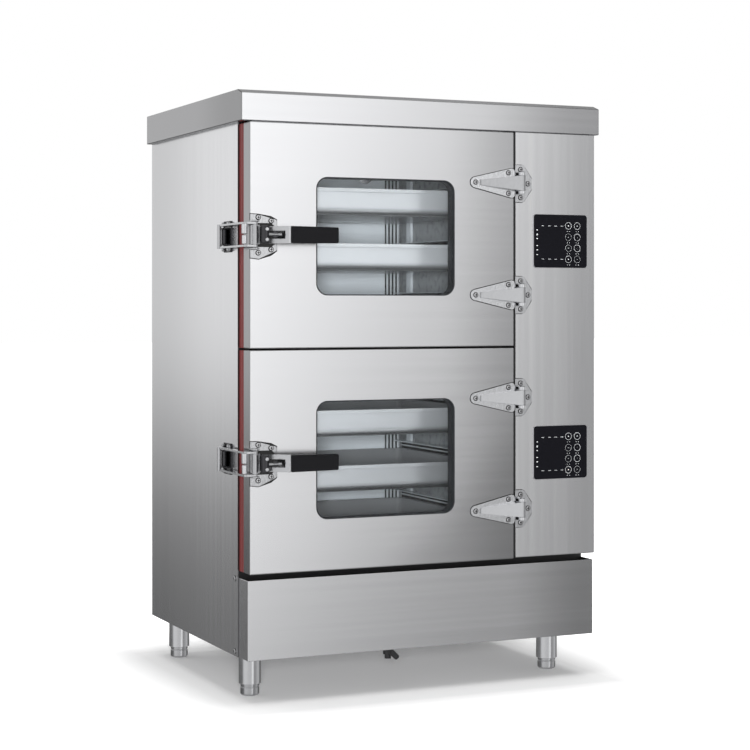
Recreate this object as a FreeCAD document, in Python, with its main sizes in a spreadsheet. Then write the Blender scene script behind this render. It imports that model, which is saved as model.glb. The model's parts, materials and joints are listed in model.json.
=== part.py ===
import FreeCAD, Part
import math
import os
import Sketcher

# Electric steam cabinet with two chambers, one above the other.
# Millimetres, +Z up, doors facing -Y. While it is drawn, X is measured from the body's left face,
# Y back from the front of the doors and Z from the floor. Each finished piece is then moved so that
# the origin lies on the floor, in the middle of the cabinet's width and depth.

SIZES = {
    # Casing
    "body_front": 54.6, "service_gap": 28.8, "foot_height": 80, "panel_sheet": 1.2,
    "panel_flange": 16, "pan_sheet": 1.5, "pan_rim": 12,
    "cap_overhang": 11, "cap_front": 6.4, "cap_skirt": 49, "cap_nose": 7, "cap_nose_depth": 20,
    "slot_inset": 50, "slot_width": 90, "slot_height": 5, "slot_step": 14, "slot_up": 700,
    # Drip trough under the doors
    "trough_front": 8.9, "trough_inset": 2, "trough_height": 140.5, "gutter_depth": 30,
    # Column of the controls
    "column_gap": 3, "column_width": 173, "column_front": 5.2, "column_lift": 12.5,
    "column_top_gap": 0.5, "panel_inset": 40.4, "panel_width": 115.2, "panel_height": 100,
    "panel_thick": 2.5, "panel_round": 6, "upper_panel_middle": 742.4,
    "lower_panel_middle": 346.5, "wiring_hole": 60, "board_width": 92, "board_height": 80,
    "board_thick": 1.6, "board_gap": 14, "standoff_radius": 3, "board_chip": 40, "board_relay": 14,
    # Doors
    "door_left": 2.3, "door_width": 521.7, "door_depth": 30, "door_sheet": 1.2,
    "door_lift": 11.5, "lower_door_height": 391.5, "split_gap": 3, "upper_door_height": 396.5,
    "door_top_gap": 2, "window_inset": 125, "window_width": 274, "window_height": 210.5,
    "window_round": 22, "glass_thick": 4, "glass_edge": 12, "seal_width": 15, "seal_inset": 0.5,
    "seal_gap": 0.3,
    # Chambers
    "mouth_left": 19.7, "mouth_right": 16, "mouth_margin": 18, "liner_sheet": 1,
    "wool_thick": 15, "floor_wool": 24,
    # Trays and their rails
    "tray_gap": 18, "tray_depth": 350, "tray_height": 48, "tray_sheet": 0.8, "tray_back": 15.4,
    "tray_lip": 8, "lip_height": 6, "tray_round": 12, "tray_pitch": 101,
    "upper_first_rim": 68.5, "lower_first_rim": 58.5, "post_width": 20, "post_depth": 5,
    "post_sheet": 1.2, "post_inset": 20, "rail_hold": 6, "rail_height": 22, "rail_lead": 4,
    "rail_tail": 26, "rail_gap": 23,
    # Hinges
    "hinge_spread": 103.5, "hinge_beside": 11, "hinge_proud": 12, "pin_radius": 3.5,
    "pin_play": 0.2, "barrel_radius": 6.5, "barrel_half": 14.2, "knuckle_half": 20,
    "knuckle_gap": 0.4, "leaf_thick": 3, "strap_length": 81, "strap_tip_radius": 10,
    "strap_straight": 7, "strap_half": 27, "rib_length": 72, "rib_tip_half": 5,
    "leaf_half": 34.5, "leaf_reach": 28,
    # Latches
    "lever_inset": 5.7, "lever_proud": 13, "link_back": 5, "link_proud": 11, "pivot_radius": 4,
    "link_pin_radius": 3, "latch_base_thick": 2.5, "lever_half": 15, "lever_length": 54.5,
    "grip_length": 89, "grip_thick": 13, "grip_half": 15, "latch_reach": 47, "tang_thick": 6,
    "link_half": 21.5, "link_bar": 3.5, "link_clear": 1, "crossbar_radius": 4,
    "keeper_thick": 2, "keeper_half": 28, "keeper_front": 84, "keeper_depth": 41,
    "roller_radius": 5, "latch_play": 0.25,
    # Feet
    "foot_inset": 44, "front_foot": 112, "rear_foot": 40, "sleeve_radius": 20,
    "insert_radius": 17, "insert_play": 0.4, "insert_shown": 21, "insert_length": 56,
    "sleeve_plug": 10, "stud_radius": 5, "stud_rise": 9,
    # Steam works under and behind the chambers
    "boiler_left": 45, "boiler_gap": 30, "boiler_width": 190, "boiler_front": 110,
    "boiler_depth": 335, "boiler_height": 95, "boiler_leg": 12, "boiler_wall": 1.5,
    "lid_edge": 8, "heater_radius": 5, "heater_half_pitch": 10, "heater_step": 14,
    "heater_length": 260, "heater_flange": 32, "steam_radius": 14, "steam_wall": 1.2,
    "riser_gap": 13, "riser_bend": 24, "steam_outlet_drop": 26,
    "lower_steam_rise": 60, "upper_steam_rise": 60,
    "vent_radius": 19, "vent_wall": 1.5, "vent_drop": 35, "vent_collar": 12, "pipe_reach": 25,
    "upper_vent_across": 430, "lower_vent_across": 100,
    # Water
    "float_box_left": 505, "float_box_width": 90, "float_box_lap": 25, "float_box_depth": 100,
    "float_box_height": 112, "float_pivot_up": 86, "float_radius": 17, "float_tall": 24,
    "float_arm": 42, "float_drop": 36, "link_pipe_radius": 8,
    "inlet_pipe": 25, "valve_half": 20, "inlet_up": 66, "inlet_radius": 10.48, "inlet_reach": 20,
    "drain_across": 301, "drain_back": 75, "drain_radius": 9, "drain_drop": 20,
    "spout_radius": 6, "spout_drop": 8, "drain_lever_length": 17,
    # Electrics
    "gland_inset": 100, "gland_up": 180, "gland_radius": 12, "gland_bore": 6.5,
    "gland_reach": 20, "gland_tail": 12, "contactor_back": 300, "contactor_width": 45,
    "contactor_gap": 10, "contactor_up": 480, "contactor_height": 80, "contactor_body": 50,
    "contactor_nose": 25, "terminal_drop": 80, "terminal_height": 40, "terminal_body": 18,
    "terminal_nose": 16,
    # Fasteners
    "screw_radius": 4.2, "screw_height": 2.2,
}

doc = FreeCAD.newDocument("steam_cabinet")
sheet = doc.addObject("Spreadsheet::Sheet", "Sizes")


class Size:
    """A length that knows its value and the formula that gives it from the sheet."""

    def __init__(self, text, value):
        self.text = text
        self.value = value

    def join(self, sign, other, value, turned=False):
        other = as_size(other)
        first, second = (other, self) if turned else (self, other)
        return Size(f"({first.text} {sign} {second.text})", value)

    def __add__(self, other):
        return self.join("+", other, self.value + as_size(other).value)

    def __radd__(self, other):
        return self.join("+", other, self.value + other, turned=True)

    def __sub__(self, other):
        return self.join("-", other, self.value - as_size(other).value)

    def __rsub__(self, other):
        return self.join("-", other, other - self.value, turned=True)

    def __mul__(self, factor):
        return self.join("*", factor, self.value * factor)

    __rmul__ = __mul__

    def __truediv__(self, factor):
        return self.join("/", factor, self.value / factor)

    def __neg__(self):
        return Size(f"(-1 * {self.text})", -self.value)


def as_size(amount):
    """Take a plain number as a size."""
    return amount if isinstance(amount, Size) else Size(repr(float(amount)), float(amount))


class Named:
    """The sheet's sizes by name."""


s = Named()
for row, (name, amount) in enumerate(SIZES.items(), start=1):
    sheet.set(f"A{row}", name)
    sheet.set(f"B{row}", str(amount))
    sheet.setAlias(f"B{row}", name)
    setattr(s, name, Size(f"Sizes.{name}", float(amount)))
doc.recompute()

nodes = []


def bind(thing, **amounts):
    """Bind properties of an object to sizes."""
    for name, amount in amounts.items():
        thing.setExpression(name.replace("__", "."), as_size(amount).text)


def place(thing, across=0, back=0, up=0):
    """Bind where an object stands."""
    bind(thing, Placement__Base__x=across, Placement__Base__y=back, Placement__Base__z=up)
    return thing


def box(across, back, up):
    """Make a block between two limits along each axis."""
    block = doc.addObject("Part::Box", "block")
    bind(block, Length=across[1] - across[0], Width=back[1] - back[0], Height=up[1] - up[0])
    return place(block, across[0], back[0], up[0])


TURN = {
    "X": FreeCAD.Rotation(FreeCAD.Vector(0, 1, 0), 90),
    "Y": FreeCAD.Rotation(FreeCAD.Vector(1, 0, 0), -90),
    "Z": FreeCAD.Rotation(),
}


def lay(thing, axis, centre, start):
    """Turn a round piece along an axis and set it at its start."""
    thing.Placement.Rotation = TURN[axis]
    spot = {"X": (start, *centre), "Y": (centre[0], start, centre[1]), "Z": (*centre, start)}[axis]
    return place(thing, *spot)


def rod(axis, centre, span, radius):
    """Make a round bar along an axis; centre gives the two other coordinates."""
    bar = doc.addObject("Part::Cylinder", "bar")
    bind(bar, Radius=radius, Height=span[1] - span[0])
    return lay(bar, axis, centre, span[0])


def cone(axis, centre, span, start_radius, end_radius):
    """Make a tapered round bar along an axis."""
    taper = doc.addObject("Part::Cone", "taper")
    bind(taper, Radius1=start_radius, Radius2=end_radius, Height=span[1] - span[0])
    return lay(taper, axis, centre, span[0])


def cut(base, *tools):
    """Take tools away from a base."""
    for tool in tools:
        result = doc.addObject("Part::Cut", "cut")
        result.Base = base
        result.Tool = tool
        base = result
    return base


def fuse(*pieces):
    """Join pieces into one solid."""
    result = doc.addObject("Part::MultiFuse", "joined")
    result.Shapes = list(pieces)
    result.Refine = True
    return result


def group(*pieces):
    """Keep separate solids together as one sub-part."""
    result = doc.addObject("Part::Compound", "group")
    result.Links = list(pieces)
    return result


def tube(axis, centre, span, radius, bore, past=0):
    """Make a round bar with a bore that runs past both ends."""
    bore_span = (span[0] - past, span[1] + past)
    return cut(rod(axis, centre, span, radius), rod(axis, centre, bore_span, bore))


# Each plane's two sketch axes, and whether its normal follows its own world axis or opposes it
PLANES = {"XY_Plane": "xy+", "XZ_Plane": "xz-", "YZ_Plane": "yz+"}


def outline(plane, points, start, end, rounding=()):
    """Pad a closed outline of straight sides from start to end along its plane's world axis.

    rounding is a list of (radius, corner numbers): those corners get a fillet along the pad.
    """
    first, second = ["xyz".index(letter) for letter in PLANES[plane][:2]]
    sign = 1 if PLANES[plane].endswith("+") else -1
    body = doc.addObject("PartDesign::Body", "outline")
    drawing = body.newObject("Sketcher::SketchObject", "drawing")
    support = [feature for feature in body.Origin.OriginFeatures if feature.Role == plane]
    drawing.AttachmentSupport = [(support[0], "")]
    drawing.MapMode = "FlatFace"
    bind(drawing, AttachmentOffset__Base__z=sign * as_size(start))
    sized = [(as_size(along), as_size(over)) for along, over in points]
    corners = [FreeCAD.Vector(along.value, over.value, 0) for along, over in sized]
    count = len(corners)
    for index in range(count):
        side = Part.LineSegment(corners[index], corners[(index + 1) % count])
        drawing.addGeometry(side, False)
    for index in range(count):
        drawing.addConstraint(Sketcher.Constraint("Coincident", index, 2, (index + 1) % count, 1))
    for index, (along, over) in enumerate(sized):
        for kind, amount in (("DistanceX", along), ("DistanceY", over)):
            held = drawing.addConstraint(Sketcher.Constraint(kind, -1, 1, index, 1, amount.value))
            drawing.setExpression(f"Constraints[{held}]", amount.text)
    solid = body.newObject("PartDesign::Pad", "pad")
    solid.Profile = drawing
    solid.Reversed = sign < 0
    bind(solid, Length=end - start)
    for radius, numbers in rounding:
        doc.recompute([drawing, solid])
        spots = [corners[number] for number in numbers]
        edges = []
        for number, edge in enumerate(solid.Shape.Edges, start=1):
            ends = [vertex.Point for vertex in edge.Vertexes]
            same = [(ends[0][i] - ends[-1][i]) for i in (first, second)]
            here = FreeCAD.Vector(ends[0][first], ends[0][second], 0)
            upright = len(ends) == 2 and max(abs(gap) for gap in same) < 1e-6
            if upright and min(here.distanceToPoint(spot) for spot in spots) < 1e-4:
                edges.append(f"Edge{number}")
        rounded = body.newObject("PartDesign::Fillet", "rounded")
        rounded.Base = (solid, edges)
        bind(rounded, Radius=radius)
        solid = rounded
    return body


def rectangle(across, up):
    """Give the corners of an upright rectangle in order."""
    return [(across[0], up[0]), (across[1], up[0]), (across[1], up[1]), (across[0], up[1])]


ALL_CORNERS = range(4)

# Places that several pieces share
DOOR_RIGHT = s.door_left + s.door_width
COLUMN_LEFT = DOOR_RIGHT + s.column_gap
RIGHT = COLUMN_LEFT + s.column_width
INSIDE_LEFT = s.panel_sheet
INSIDE_RIGHT = RIGHT - s.panel_sheet
PANEL_LEFT = COLUMN_LEFT + s.panel_inset
PANEL_CENTRE = PANEL_LEFT + s.panel_width / 2
CHAMBER_LEFT = s.door_left + s.mouth_left
CHAMBER_RIGHT = DOOR_RIGHT - s.mouth_right
WINDOW_ACROSS = (s.door_left + s.window_inset, s.door_left + s.window_inset + s.window_width)
HINGE_ACROSS = DOOR_RIGHT + s.hinge_beside
STRAP_TIP = DOOR_RIGHT - s.strap_length
STRAP_ROOT = DOOR_RIGHT - s.strap_straight
TRAY_LEFT = CHAMBER_LEFT + s.tray_gap
TRAY_RIGHT = CHAMBER_RIGHT - s.tray_gap
FLOAT_RIGHT = s.float_box_left + s.float_box_width
INLET_ACROSS = FLOAT_RIGHT + s.inlet_pipe + s.valve_half
GLAND_ACROSS = RIGHT - s.gland_inset

FRAME_BACK = s.body_front + s.panel_sheet
TRAY_FRONT = s.body_front + s.tray_back
RAIL_FRONT = TRAY_FRONT - s.rail_lead
RAIL_REAR = TRAY_FRONT + s.tray_depth + s.rail_tail
CHAMBER_REAR = RAIL_REAR + s.rail_gap
WOOL_REAR = CHAMBER_REAR + s.liner_sheet + s.wool_thick
RISER_BACK = WOOL_REAR + s.riser_gap + s.steam_radius
INSIDE_REAR = RISER_BACK + s.steam_radius + s.service_gap
REAR = INSIDE_REAR + s.panel_sheet

FLOOR = s.foot_height
PAN_TOP = FLOOR + s.pan_sheet
GUTTER_RIM = FLOOR + s.trough_height
SPLIT = GUTTER_RIM + s.door_lift + s.lower_door_height
TOP = SPLIT + s.split_gap + s.upper_door_height + s.door_top_gap
BOILER_FLOOR = PAN_TOP + s.boiler_leg
BOILER_TOP = BOILER_FLOOR + s.boiler_height
HEATER_UP = BOILER_FLOOR + s.boiler_height * 0.4
STEAM_UP = BOILER_TOP - s.steam_outlet_drop
PANEL_MIDDLES = (s.upper_panel_middle, s.lower_panel_middle)

LINK_REACH = s.keeper_thick + 2 * s.roller_radius + s.link_clear + 2 * s.crossbar_radius
CENTRE_ACROSS = (RIGHT + s.cap_overhang - LINK_REACH) / 2
CENTRE_BACK = (REAR + s.pipe_reach - s.latch_reach) / 2


def finish(name, piece):
    """Name a finished sub-part and move it to the cabinet's own origin."""
    piece.Label = name
    place(piece, -CENTRE_ACROSS, -CENTRE_BACK, 0)
    nodes.append(piece)


def screw(axis, centre, face, outward):
    """Make a low tapered screw head on a face; outward is +1 or -1 along the axis."""
    wide, narrow = s.screw_radius, s.screw_radius * 0.6
    if outward > 0:
        return cone(axis, centre, (face, face + s.screw_height), wide, narrow)
    return cone(axis, centre, (face - s.screw_height, face), narrow, wide)


class Level:
    """The heights that belong to one door and its chamber."""

    def __init__(self, word, bottom, top, first_rim, vent_across, boiler, steam_rise):
        self.word = word
        self.bottom = bottom
        self.top = top
        self.middle = (bottom + top) / 2
        self.chamber = (bottom + s.mouth_margin, top - s.mouth_margin)
        self.window = (self.middle - s.window_height / 2, self.middle + s.window_height / 2)
        self.hinges = (self.middle + s.hinge_spread, self.middle - s.hinge_spread)
        self.first_rim = self.chamber[0] + first_rim
        self.vent = (vent_across, self.chamber[1] - s.vent_drop)
        self.boiler_left = s.boiler_left + boiler * (s.boiler_width + s.boiler_gap)
        self.boiler_middle = self.boiler_left + s.boiler_width / 2
        self.steam_inlet = self.chamber[0] + steam_rise


UPPER = Level(
    "upper", SPLIT + s.split_gap, TOP - s.door_top_gap,
    s.upper_first_rim, s.upper_vent_across, 1, s.upper_steam_rise,
)
LOWER = Level(
    "lower", GUTTER_RIM + s.door_lift, SPLIT,
    s.lower_first_rim, s.lower_vent_across, 0, s.lower_steam_rise,
)
LEVELS = (UPPER, LOWER)


# Casing
def side_panel(name, outer, inner, flange_end):
    """Bend a side panel: a flat sheet with a flange turned in at the rear."""
    inside_rear = INSIDE_REAR - s.panel_sheet
    points = [
        (outer, s.body_front), (inner, s.body_front), (inner, inside_rear),
        (flange_end, inside_rear), (flange_end, INSIDE_REAR), (inner, INSIDE_REAR),
        (inner, REAR), (outer, REAR),
    ]
    finish(name, outline("XY_Plane", points, FLOOR, TOP))


side_panel("left_side_panel", as_size(0), INSIDE_LEFT, s.panel_flange)
side_panel("right_side_panel", RIGHT, INSIDE_RIGHT, RIGHT - s.panel_flange)


def rear_panel():
    """Close the back, with holes for the pipes and gland and slots behind the electrics."""
    sheet_back = (INSIDE_REAR, REAR)
    through = (INSIDE_REAR - 1, REAR + 1)
    plate = box((INSIDE_LEFT, INSIDE_RIGHT), sheet_back, (FLOOR, TOP))
    tools = [rod("Y", level.vent, through, s.vent_radius) for level in LEVELS]
    tools.append(rod("Y", (INLET_ACROSS, PAN_TOP + s.inlet_up), through, s.inlet_radius))
    tools.append(rod("Y", (GLAND_ACROSS, FLOOR + s.gland_up), through, s.gland_radius))
    slots_right = RIGHT - s.slot_inset
    for index in range(10):
        up = FLOOR + s.slot_up + index * s.slot_step
        tools.append(box((slots_right - s.slot_width, slots_right), through,
                         (up, up + s.slot_height)))
    finish("rear_panel", cut(plate, *tools))


rear_panel()


def top_cap():
    """Make the hollow cap: skirt all round, sloped nosing at the front, rim turned in below."""
    side = (-s.cap_overhang, RIGHT + s.cap_overhang)
    skirt_top = TOP + s.cap_skirt
    crown = skirt_top + s.cap_nose
    outside = outline("YZ_Plane", [
        (s.cap_front, TOP), (REAR, TOP), (REAR, crown),
        (s.cap_front + s.cap_nose_depth, crown), (s.cap_front, skirt_top),
    ], side[0], side[1])
    skin = s.panel_sheet
    inside = outline("YZ_Plane", [
        (s.cap_front + skin, TOP + skin), (INSIDE_REAR, TOP + skin), (INSIDE_REAR, crown - skin),
        (s.cap_front + s.cap_nose_depth, crown - skin), (s.cap_front + skin, skirt_top - skin),
    ], side[0] + skin, side[1] - skin)
    opening = box((s.panel_flange, RIGHT - s.panel_flange),
                  (s.body_front + s.panel_flange, INSIDE_REAR), (TOP - 1, TOP + skin))
    finish("top_cap", cut(outside, inside, opening))


top_cap()


def base_pan():
    """Make the bottom plate with a turned-up rim, holes for the foot studs and the drain."""
    across, back = (INSIDE_LEFT, INSIDE_RIGHT), (FRAME_BACK, INSIDE_REAR - s.panel_sheet)
    plate = box(across, back, (FLOOR, PAN_TOP + s.pan_rim))
    hollow = box((across[0] + s.pan_sheet, across[1] - s.pan_sheet),
                 (back[0] + s.pan_sheet, back[1] - s.pan_sheet), (PAN_TOP, PAN_TOP + s.pan_rim + 1))
    span = (FLOOR - 1, PAN_TOP + 1)
    holes = [rod("Z", centre, span, s.stud_radius) for centre in foot_centres()]
    holes.append(rod("Z", (s.drain_across, s.drain_back), span, s.spout_radius))
    finish("base_pan", cut(plate, hollow, *holes))


def foot_centres():
    """Give the four feet's places, left then right, front then rear."""
    return [
        (across, back)
        for back in (s.front_foot, REAR - s.rear_foot)
        for across in (s.foot_inset, RIGHT - s.foot_inset)
    ]


base_pan()


def wiring_hole(middle, through):
    """Make the square hole behind a control panel."""
    centre = PANEL_CENTRE
    half = s.wiring_hole / 2
    return box((centre - half, centre + half), through,
               (FLOOR + middle - half, FLOOR + middle + half))


def front_frame():
    """Make the plate behind the doors, with the two chamber mouths and the wiring holes."""
    back = (s.body_front, FRAME_BACK)
    through = (s.body_front - 1, FRAME_BACK + 1)
    plate = box((INSIDE_LEFT, INSIDE_RIGHT), back, (FLOOR, TOP))
    holes = [box((CHAMBER_LEFT, CHAMBER_RIGHT), through, lv.chamber) for lv in LEVELS]
    holes.extend(wiring_hole(middle, through) for middle in PANEL_MIDDLES)
    finish("front_frame", cut(plate, *holes))


front_frame()


def column_cover():
    """Make the pan-shaped cover of the controls, open towards the body."""
    across, up = (COLUMN_LEFT, RIGHT), (GUTTER_RIM + s.column_lift, TOP - s.column_top_gap)
    skin = s.panel_sheet
    shell = box(across, (s.column_front, s.body_front), up)
    hollow = box((across[0] + skin, across[1] - skin), (s.column_front + skin, s.body_front + 1),
                 (up[0] + skin, up[1] - skin))
    through = (s.column_front - 1, s.column_front + skin + 1)
    holes = [wiring_hole(middle, through) for middle in PANEL_MIDDLES]
    finish("column_cover", cut(shell, hollow, *holes))


column_cover()


def drip_trough():
    """Make the folded front trough: a gutter above, a hollow box below."""
    across = (s.trough_inset, RIGHT - s.trough_inset)
    skin = s.panel_sheet
    rim = GUTTER_RIM
    gutter = rim - s.gutter_depth
    inner = (across[0] + skin, across[1] - skin)
    inner_back = (s.trough_front + skin, s.body_front + 1)
    shell = box(across, (s.trough_front, s.body_front), (FLOOR, rim))
    channel = box(inner, inner_back, (gutter, rim + 1))
    hollow = box(inner, inner_back, (FLOOR + skin, gutter - skin))
    finish("drip_trough", cut(shell, channel, hollow))


drip_trough()


# Chambers
def chamber_liners():
    """Make the two chamber boxes, open in front, with a steam hole and a vent hole behind."""
    liners = []
    for level in LEVELS:
        low, high = level.chamber
        skin = s.liner_sheet
        shell = box((CHAMBER_LEFT - skin, CHAMBER_RIGHT + skin),
                    (FRAME_BACK, CHAMBER_REAR + skin), (low - skin, high + skin))
        hollow = box((CHAMBER_LEFT, CHAMBER_RIGHT), (FRAME_BACK - 1, CHAMBER_REAR),
                     (low, high))
        through = (CHAMBER_REAR - 1, CHAMBER_REAR + skin + 1)
        steam = rod("Y", (level.boiler_middle, level.steam_inlet), through,
                    s.steam_radius - s.steam_wall)
        vent = rod("Y", level.vent, through, s.vent_radius - s.vent_wall)
        liners.append(cut(shell, hollow, steam, vent))
    finish("chamber_liners", group(*liners))


chamber_liners()


def insulation():
    """Pack slabs round the chambers: sides, rear, top, between and below."""
    left, right = CHAMBER_LEFT - s.liner_sheet, CHAMBER_RIGHT + s.liner_sheet
    rear = CHAMBER_REAR + s.liner_sheet
    low = LOWER.chamber[0] - s.liner_sheet
    high = UPPER.chamber[1] + s.liner_sheet
    back_slab = box((INSIDE_LEFT, right + s.wool_thick), (rear, WOOL_REAR), (low, TOP))
    through = (rear - 1, WOOL_REAR + 1)
    holes = [rod("Y", lv.vent, through, s.vent_radius) for lv in LEVELS]
    for level in LEVELS:
        holes.append(rod("Y", (level.boiler_middle, level.steam_inlet), through, s.steam_radius))
    finish("insulation", group(
        box((INSIDE_LEFT, left), (FRAME_BACK, rear), (low, TOP)),
        box((right, right + s.wool_thick), (FRAME_BACK, rear), (low, TOP)),
        box((left, right), (FRAME_BACK, rear), (high, TOP)),
        box((left, right), (FRAME_BACK, rear),
            (LOWER.chamber[1] + s.liner_sheet, UPPER.chamber[0] - s.liner_sheet)),
        box((INSIDE_LEFT, right + s.wool_thick), (FRAME_BACK, WOOL_REAR), (low - s.floor_wool, low)),
        cut(back_slab, *holes),
    ))


insulation()


def post(wall, inward, back, up):
    """Make one upright of the tray rack, a channel with its open side to the wall."""
    skin = s.post_sheet
    points = [
        (wall, back), (wall + inward * s.post_depth, back),
        (wall + inward * s.post_depth, back + s.post_width), (wall, back + s.post_width),
        (wall, back + s.post_width - skin),
        (wall + inward * (s.post_depth - skin), back + s.post_width - skin),
        (wall + inward * (s.post_depth - skin), back + skin), (wall, back + skin),
    ]
    return outline("XY_Plane", points, up[0], up[1])


def rail(wall, inward, rim):
    """Make one channel rail, open towards the tray, under a tray's rim."""
    skin = s.post_sheet
    web = wall + inward * s.post_depth
    edge = web + inward * (s.tray_gap - s.post_depth + s.rail_hold)
    low = rim - s.lip_height - skin
    high = low + s.rail_height
    points = [
        (web, low), (edge, low), (edge, low + skin), (web + inward * skin, low + skin),
        (web + inward * skin, high - skin), (edge, high - skin), (edge, high), (web, high),
    ]
    return outline("XZ_Plane", points, RAIL_FRONT, RAIL_REAR)


def rims(level):
    """Give the heights of a chamber's three tray rims."""
    return [level.first_rim + step * s.tray_pitch for step in range(3)]


def tray_racks():
    """Make posts and rails on both walls of both chambers."""
    pieces = []
    for level in LEVELS:
        for wall, inward in ((CHAMBER_LEFT, 1), (CHAMBER_RIGHT, -1)):
            for back in (TRAY_FRONT + s.post_inset, RAIL_REAR - s.post_inset - s.post_width):
                pieces.append(post(wall, inward, back, level.chamber))
            pieces.extend(rail(wall, inward, rim) for rim in rims(level))
    finish("tray_racks", group(*pieces))


tray_racks()


def tray(name, rim):
    """Make one pressed tray: rounded pan, flat rim and a short lip turned down."""
    left, right = TRAY_LEFT, TRAY_RIGHT
    front, rear = TRAY_FRONT, TRAY_FRONT + s.tray_depth
    skin, lip = s.tray_sheet, s.tray_lip

    def pan(inset, low, high, radius):
        points = rectangle((left + inset, right - inset), (front + inset, rear - inset))
        return outline("XY_Plane", points, low, high, [(radius, ALL_CORNERS)])

    floor = rim - s.tray_height
    walls = pan(lip, floor, rim, s.tray_round)
    flange = pan(0, rim - s.lip_height, rim, s.tray_round + lip)
    under_flange = cut(
        pan(skin, rim - s.lip_height - 1, rim - skin, s.tray_round + lip - skin),
        pan(lip, rim - s.lip_height - 2, rim, s.tray_round),
    )
    hollow = pan(lip + skin, floor + skin, rim + 1, s.tray_round - skin)
    finish(name, cut(fuse(walls, cut(flange, under_flange)), hollow))


for level in LEVELS:
    for number, rim in enumerate(rims(level), start=1):
        tray(f"{level.word}_tray_{number}", rim)


# Doors
def window_opening(level, margin, back, radius):
    """Make a rounded block as large as the window, wider by a margin."""
    across = (WINDOW_ACROSS[0] - margin, WINDOW_ACROSS[1] + margin)
    up = (level.window[0] - margin, level.window[1] + margin)
    return outline("XZ_Plane", rectangle(across, up), back[0], back[1], [(radius, ALL_CORNERS)])


def door(level):
    """Make one door: shell, panes, inner panel with the panes' spacer, filling and seal."""
    word = level.word
    skin = s.door_sheet
    across, up = (s.door_left, DOOR_RIGHT), (level.bottom, level.top)
    inner = (across[0] + skin, across[1] - skin)
    inner_up = (up[0] + skin, up[1] - skin)
    outer_pane = (skin, skin + s.glass_thick)
    inner_pane = (s.door_depth - skin - s.glass_thick, s.door_depth - skin)

    shell = box(across, (as_size(0), s.door_depth), up)
    hollow = box(inner, (skin, s.door_depth + 1), inner_up)
    opening = window_opening(level, 0, (as_size(-1), skin + 1), s.window_round)
    finish(f"{word}_door_shell", cut(shell, hollow, opening))

    plate = box(inner, (inner_pane[1], s.door_depth), inner_up)
    opening = window_opening(level, 0, (inner_pane[1] - 1, s.door_depth + 1), s.window_round)
    between = (outer_pane[1], inner_pane[0])
    spacer = cut(
        window_opening(level, skin, between, s.window_round + skin),
        window_opening(level, 0, (between[0] - 1, between[1] + 1), s.window_round),
    )
    finish(f"{word}_door_inner_panel", group(cut(plate, opening), spacer))

    finish(f"{word}_door_glass", group(
        window_opening(level, s.glass_edge, outer_pane, s.window_round),
        window_opening(level, s.glass_edge, inner_pane, s.window_round),
    ))

    filling = box(inner, between, inner_up)
    around_spacer = window_opening(level, skin, (between[0] - 1, between[1] + 1),
                                   s.window_round + skin)
    finish(f"{word}_door_insulation", cut(filling, around_spacer))

    inset, width = s.seal_inset, s.seal_width
    seal_back = (s.door_depth, s.body_front - s.seal_gap)
    ring = box((across[0] + inset, across[1] - inset), seal_back, (up[0] + inset, up[1] - inset))
    ring_hollow = box((across[0] + inset + width, across[1] - inset - width),
                      (seal_back[0] - 1, seal_back[1] + 1),
                      (up[0] + inset + width, up[1] - inset - width))
    finish(f"{word}_door_seal", cut(ring, ring_hollow))


for level in LEVELS:
    door(level)


# Hinges
def hinge_strap(middle):
    """Make one strap: leaf on the door, raised rib and the barrel round the pin."""
    half, root, tip = s.strap_half, STRAP_ROOT, STRAP_TIP
    nose = s.strap_tip_radius
    leaf = outline("XZ_Plane", [
        (tip - nose, middle - nose), (tip, middle - nose), (root, middle - half),
        (DOOR_RIGHT, middle - half), (DOOR_RIGHT, middle + half),
        (root, middle + half), (tip, middle + nose), (tip - nose, middle + nose),
    ], -s.leaf_thick, as_size(0), [(nose * 0.98, (0, 7)), (nose * 0.6, (3, 4))])
    rib = doc.addObject("Part::Wedge", "rib")
    rise = s.hinge_proud + s.barrel_radius
    bind(rib, Xmin=-s.rib_tip_half, Xmax=s.rib_tip_half, X2min=-s.barrel_half,
         X2max=s.barrel_half, Ymin=0, Ymax=s.rib_length + s.hinge_beside,
         Zmin=-s.leaf_thick - 2, Zmax=-s.leaf_thick, Z2min=-rise, Z2max=-s.leaf_thick)
    rib.Placement.Rotation = FreeCAD.Rotation(FreeCAD.Vector(1, 1, 1), -120)
    place(rib, DOOR_RIGHT - s.rib_length, 0, middle)
    axis_spot = (HINGE_ACROSS, -s.hinge_proud)
    span = (middle - s.barrel_half, middle + s.barrel_half)
    barrel = rod("Z", axis_spot, span, s.barrel_radius)
    clear = box((DOOR_RIGHT, HINGE_ACROSS + 9), (-s.hinge_proud, as_size(1)),
                (span[0] - 1, span[1] + 1))
    bore = rod("Z", axis_spot, (span[0] - 1, span[1] + 1), s.pin_radius + s.pin_play)
    return cut(fuse(leaf, cut(rib, clear), barrel), bore)


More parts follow.
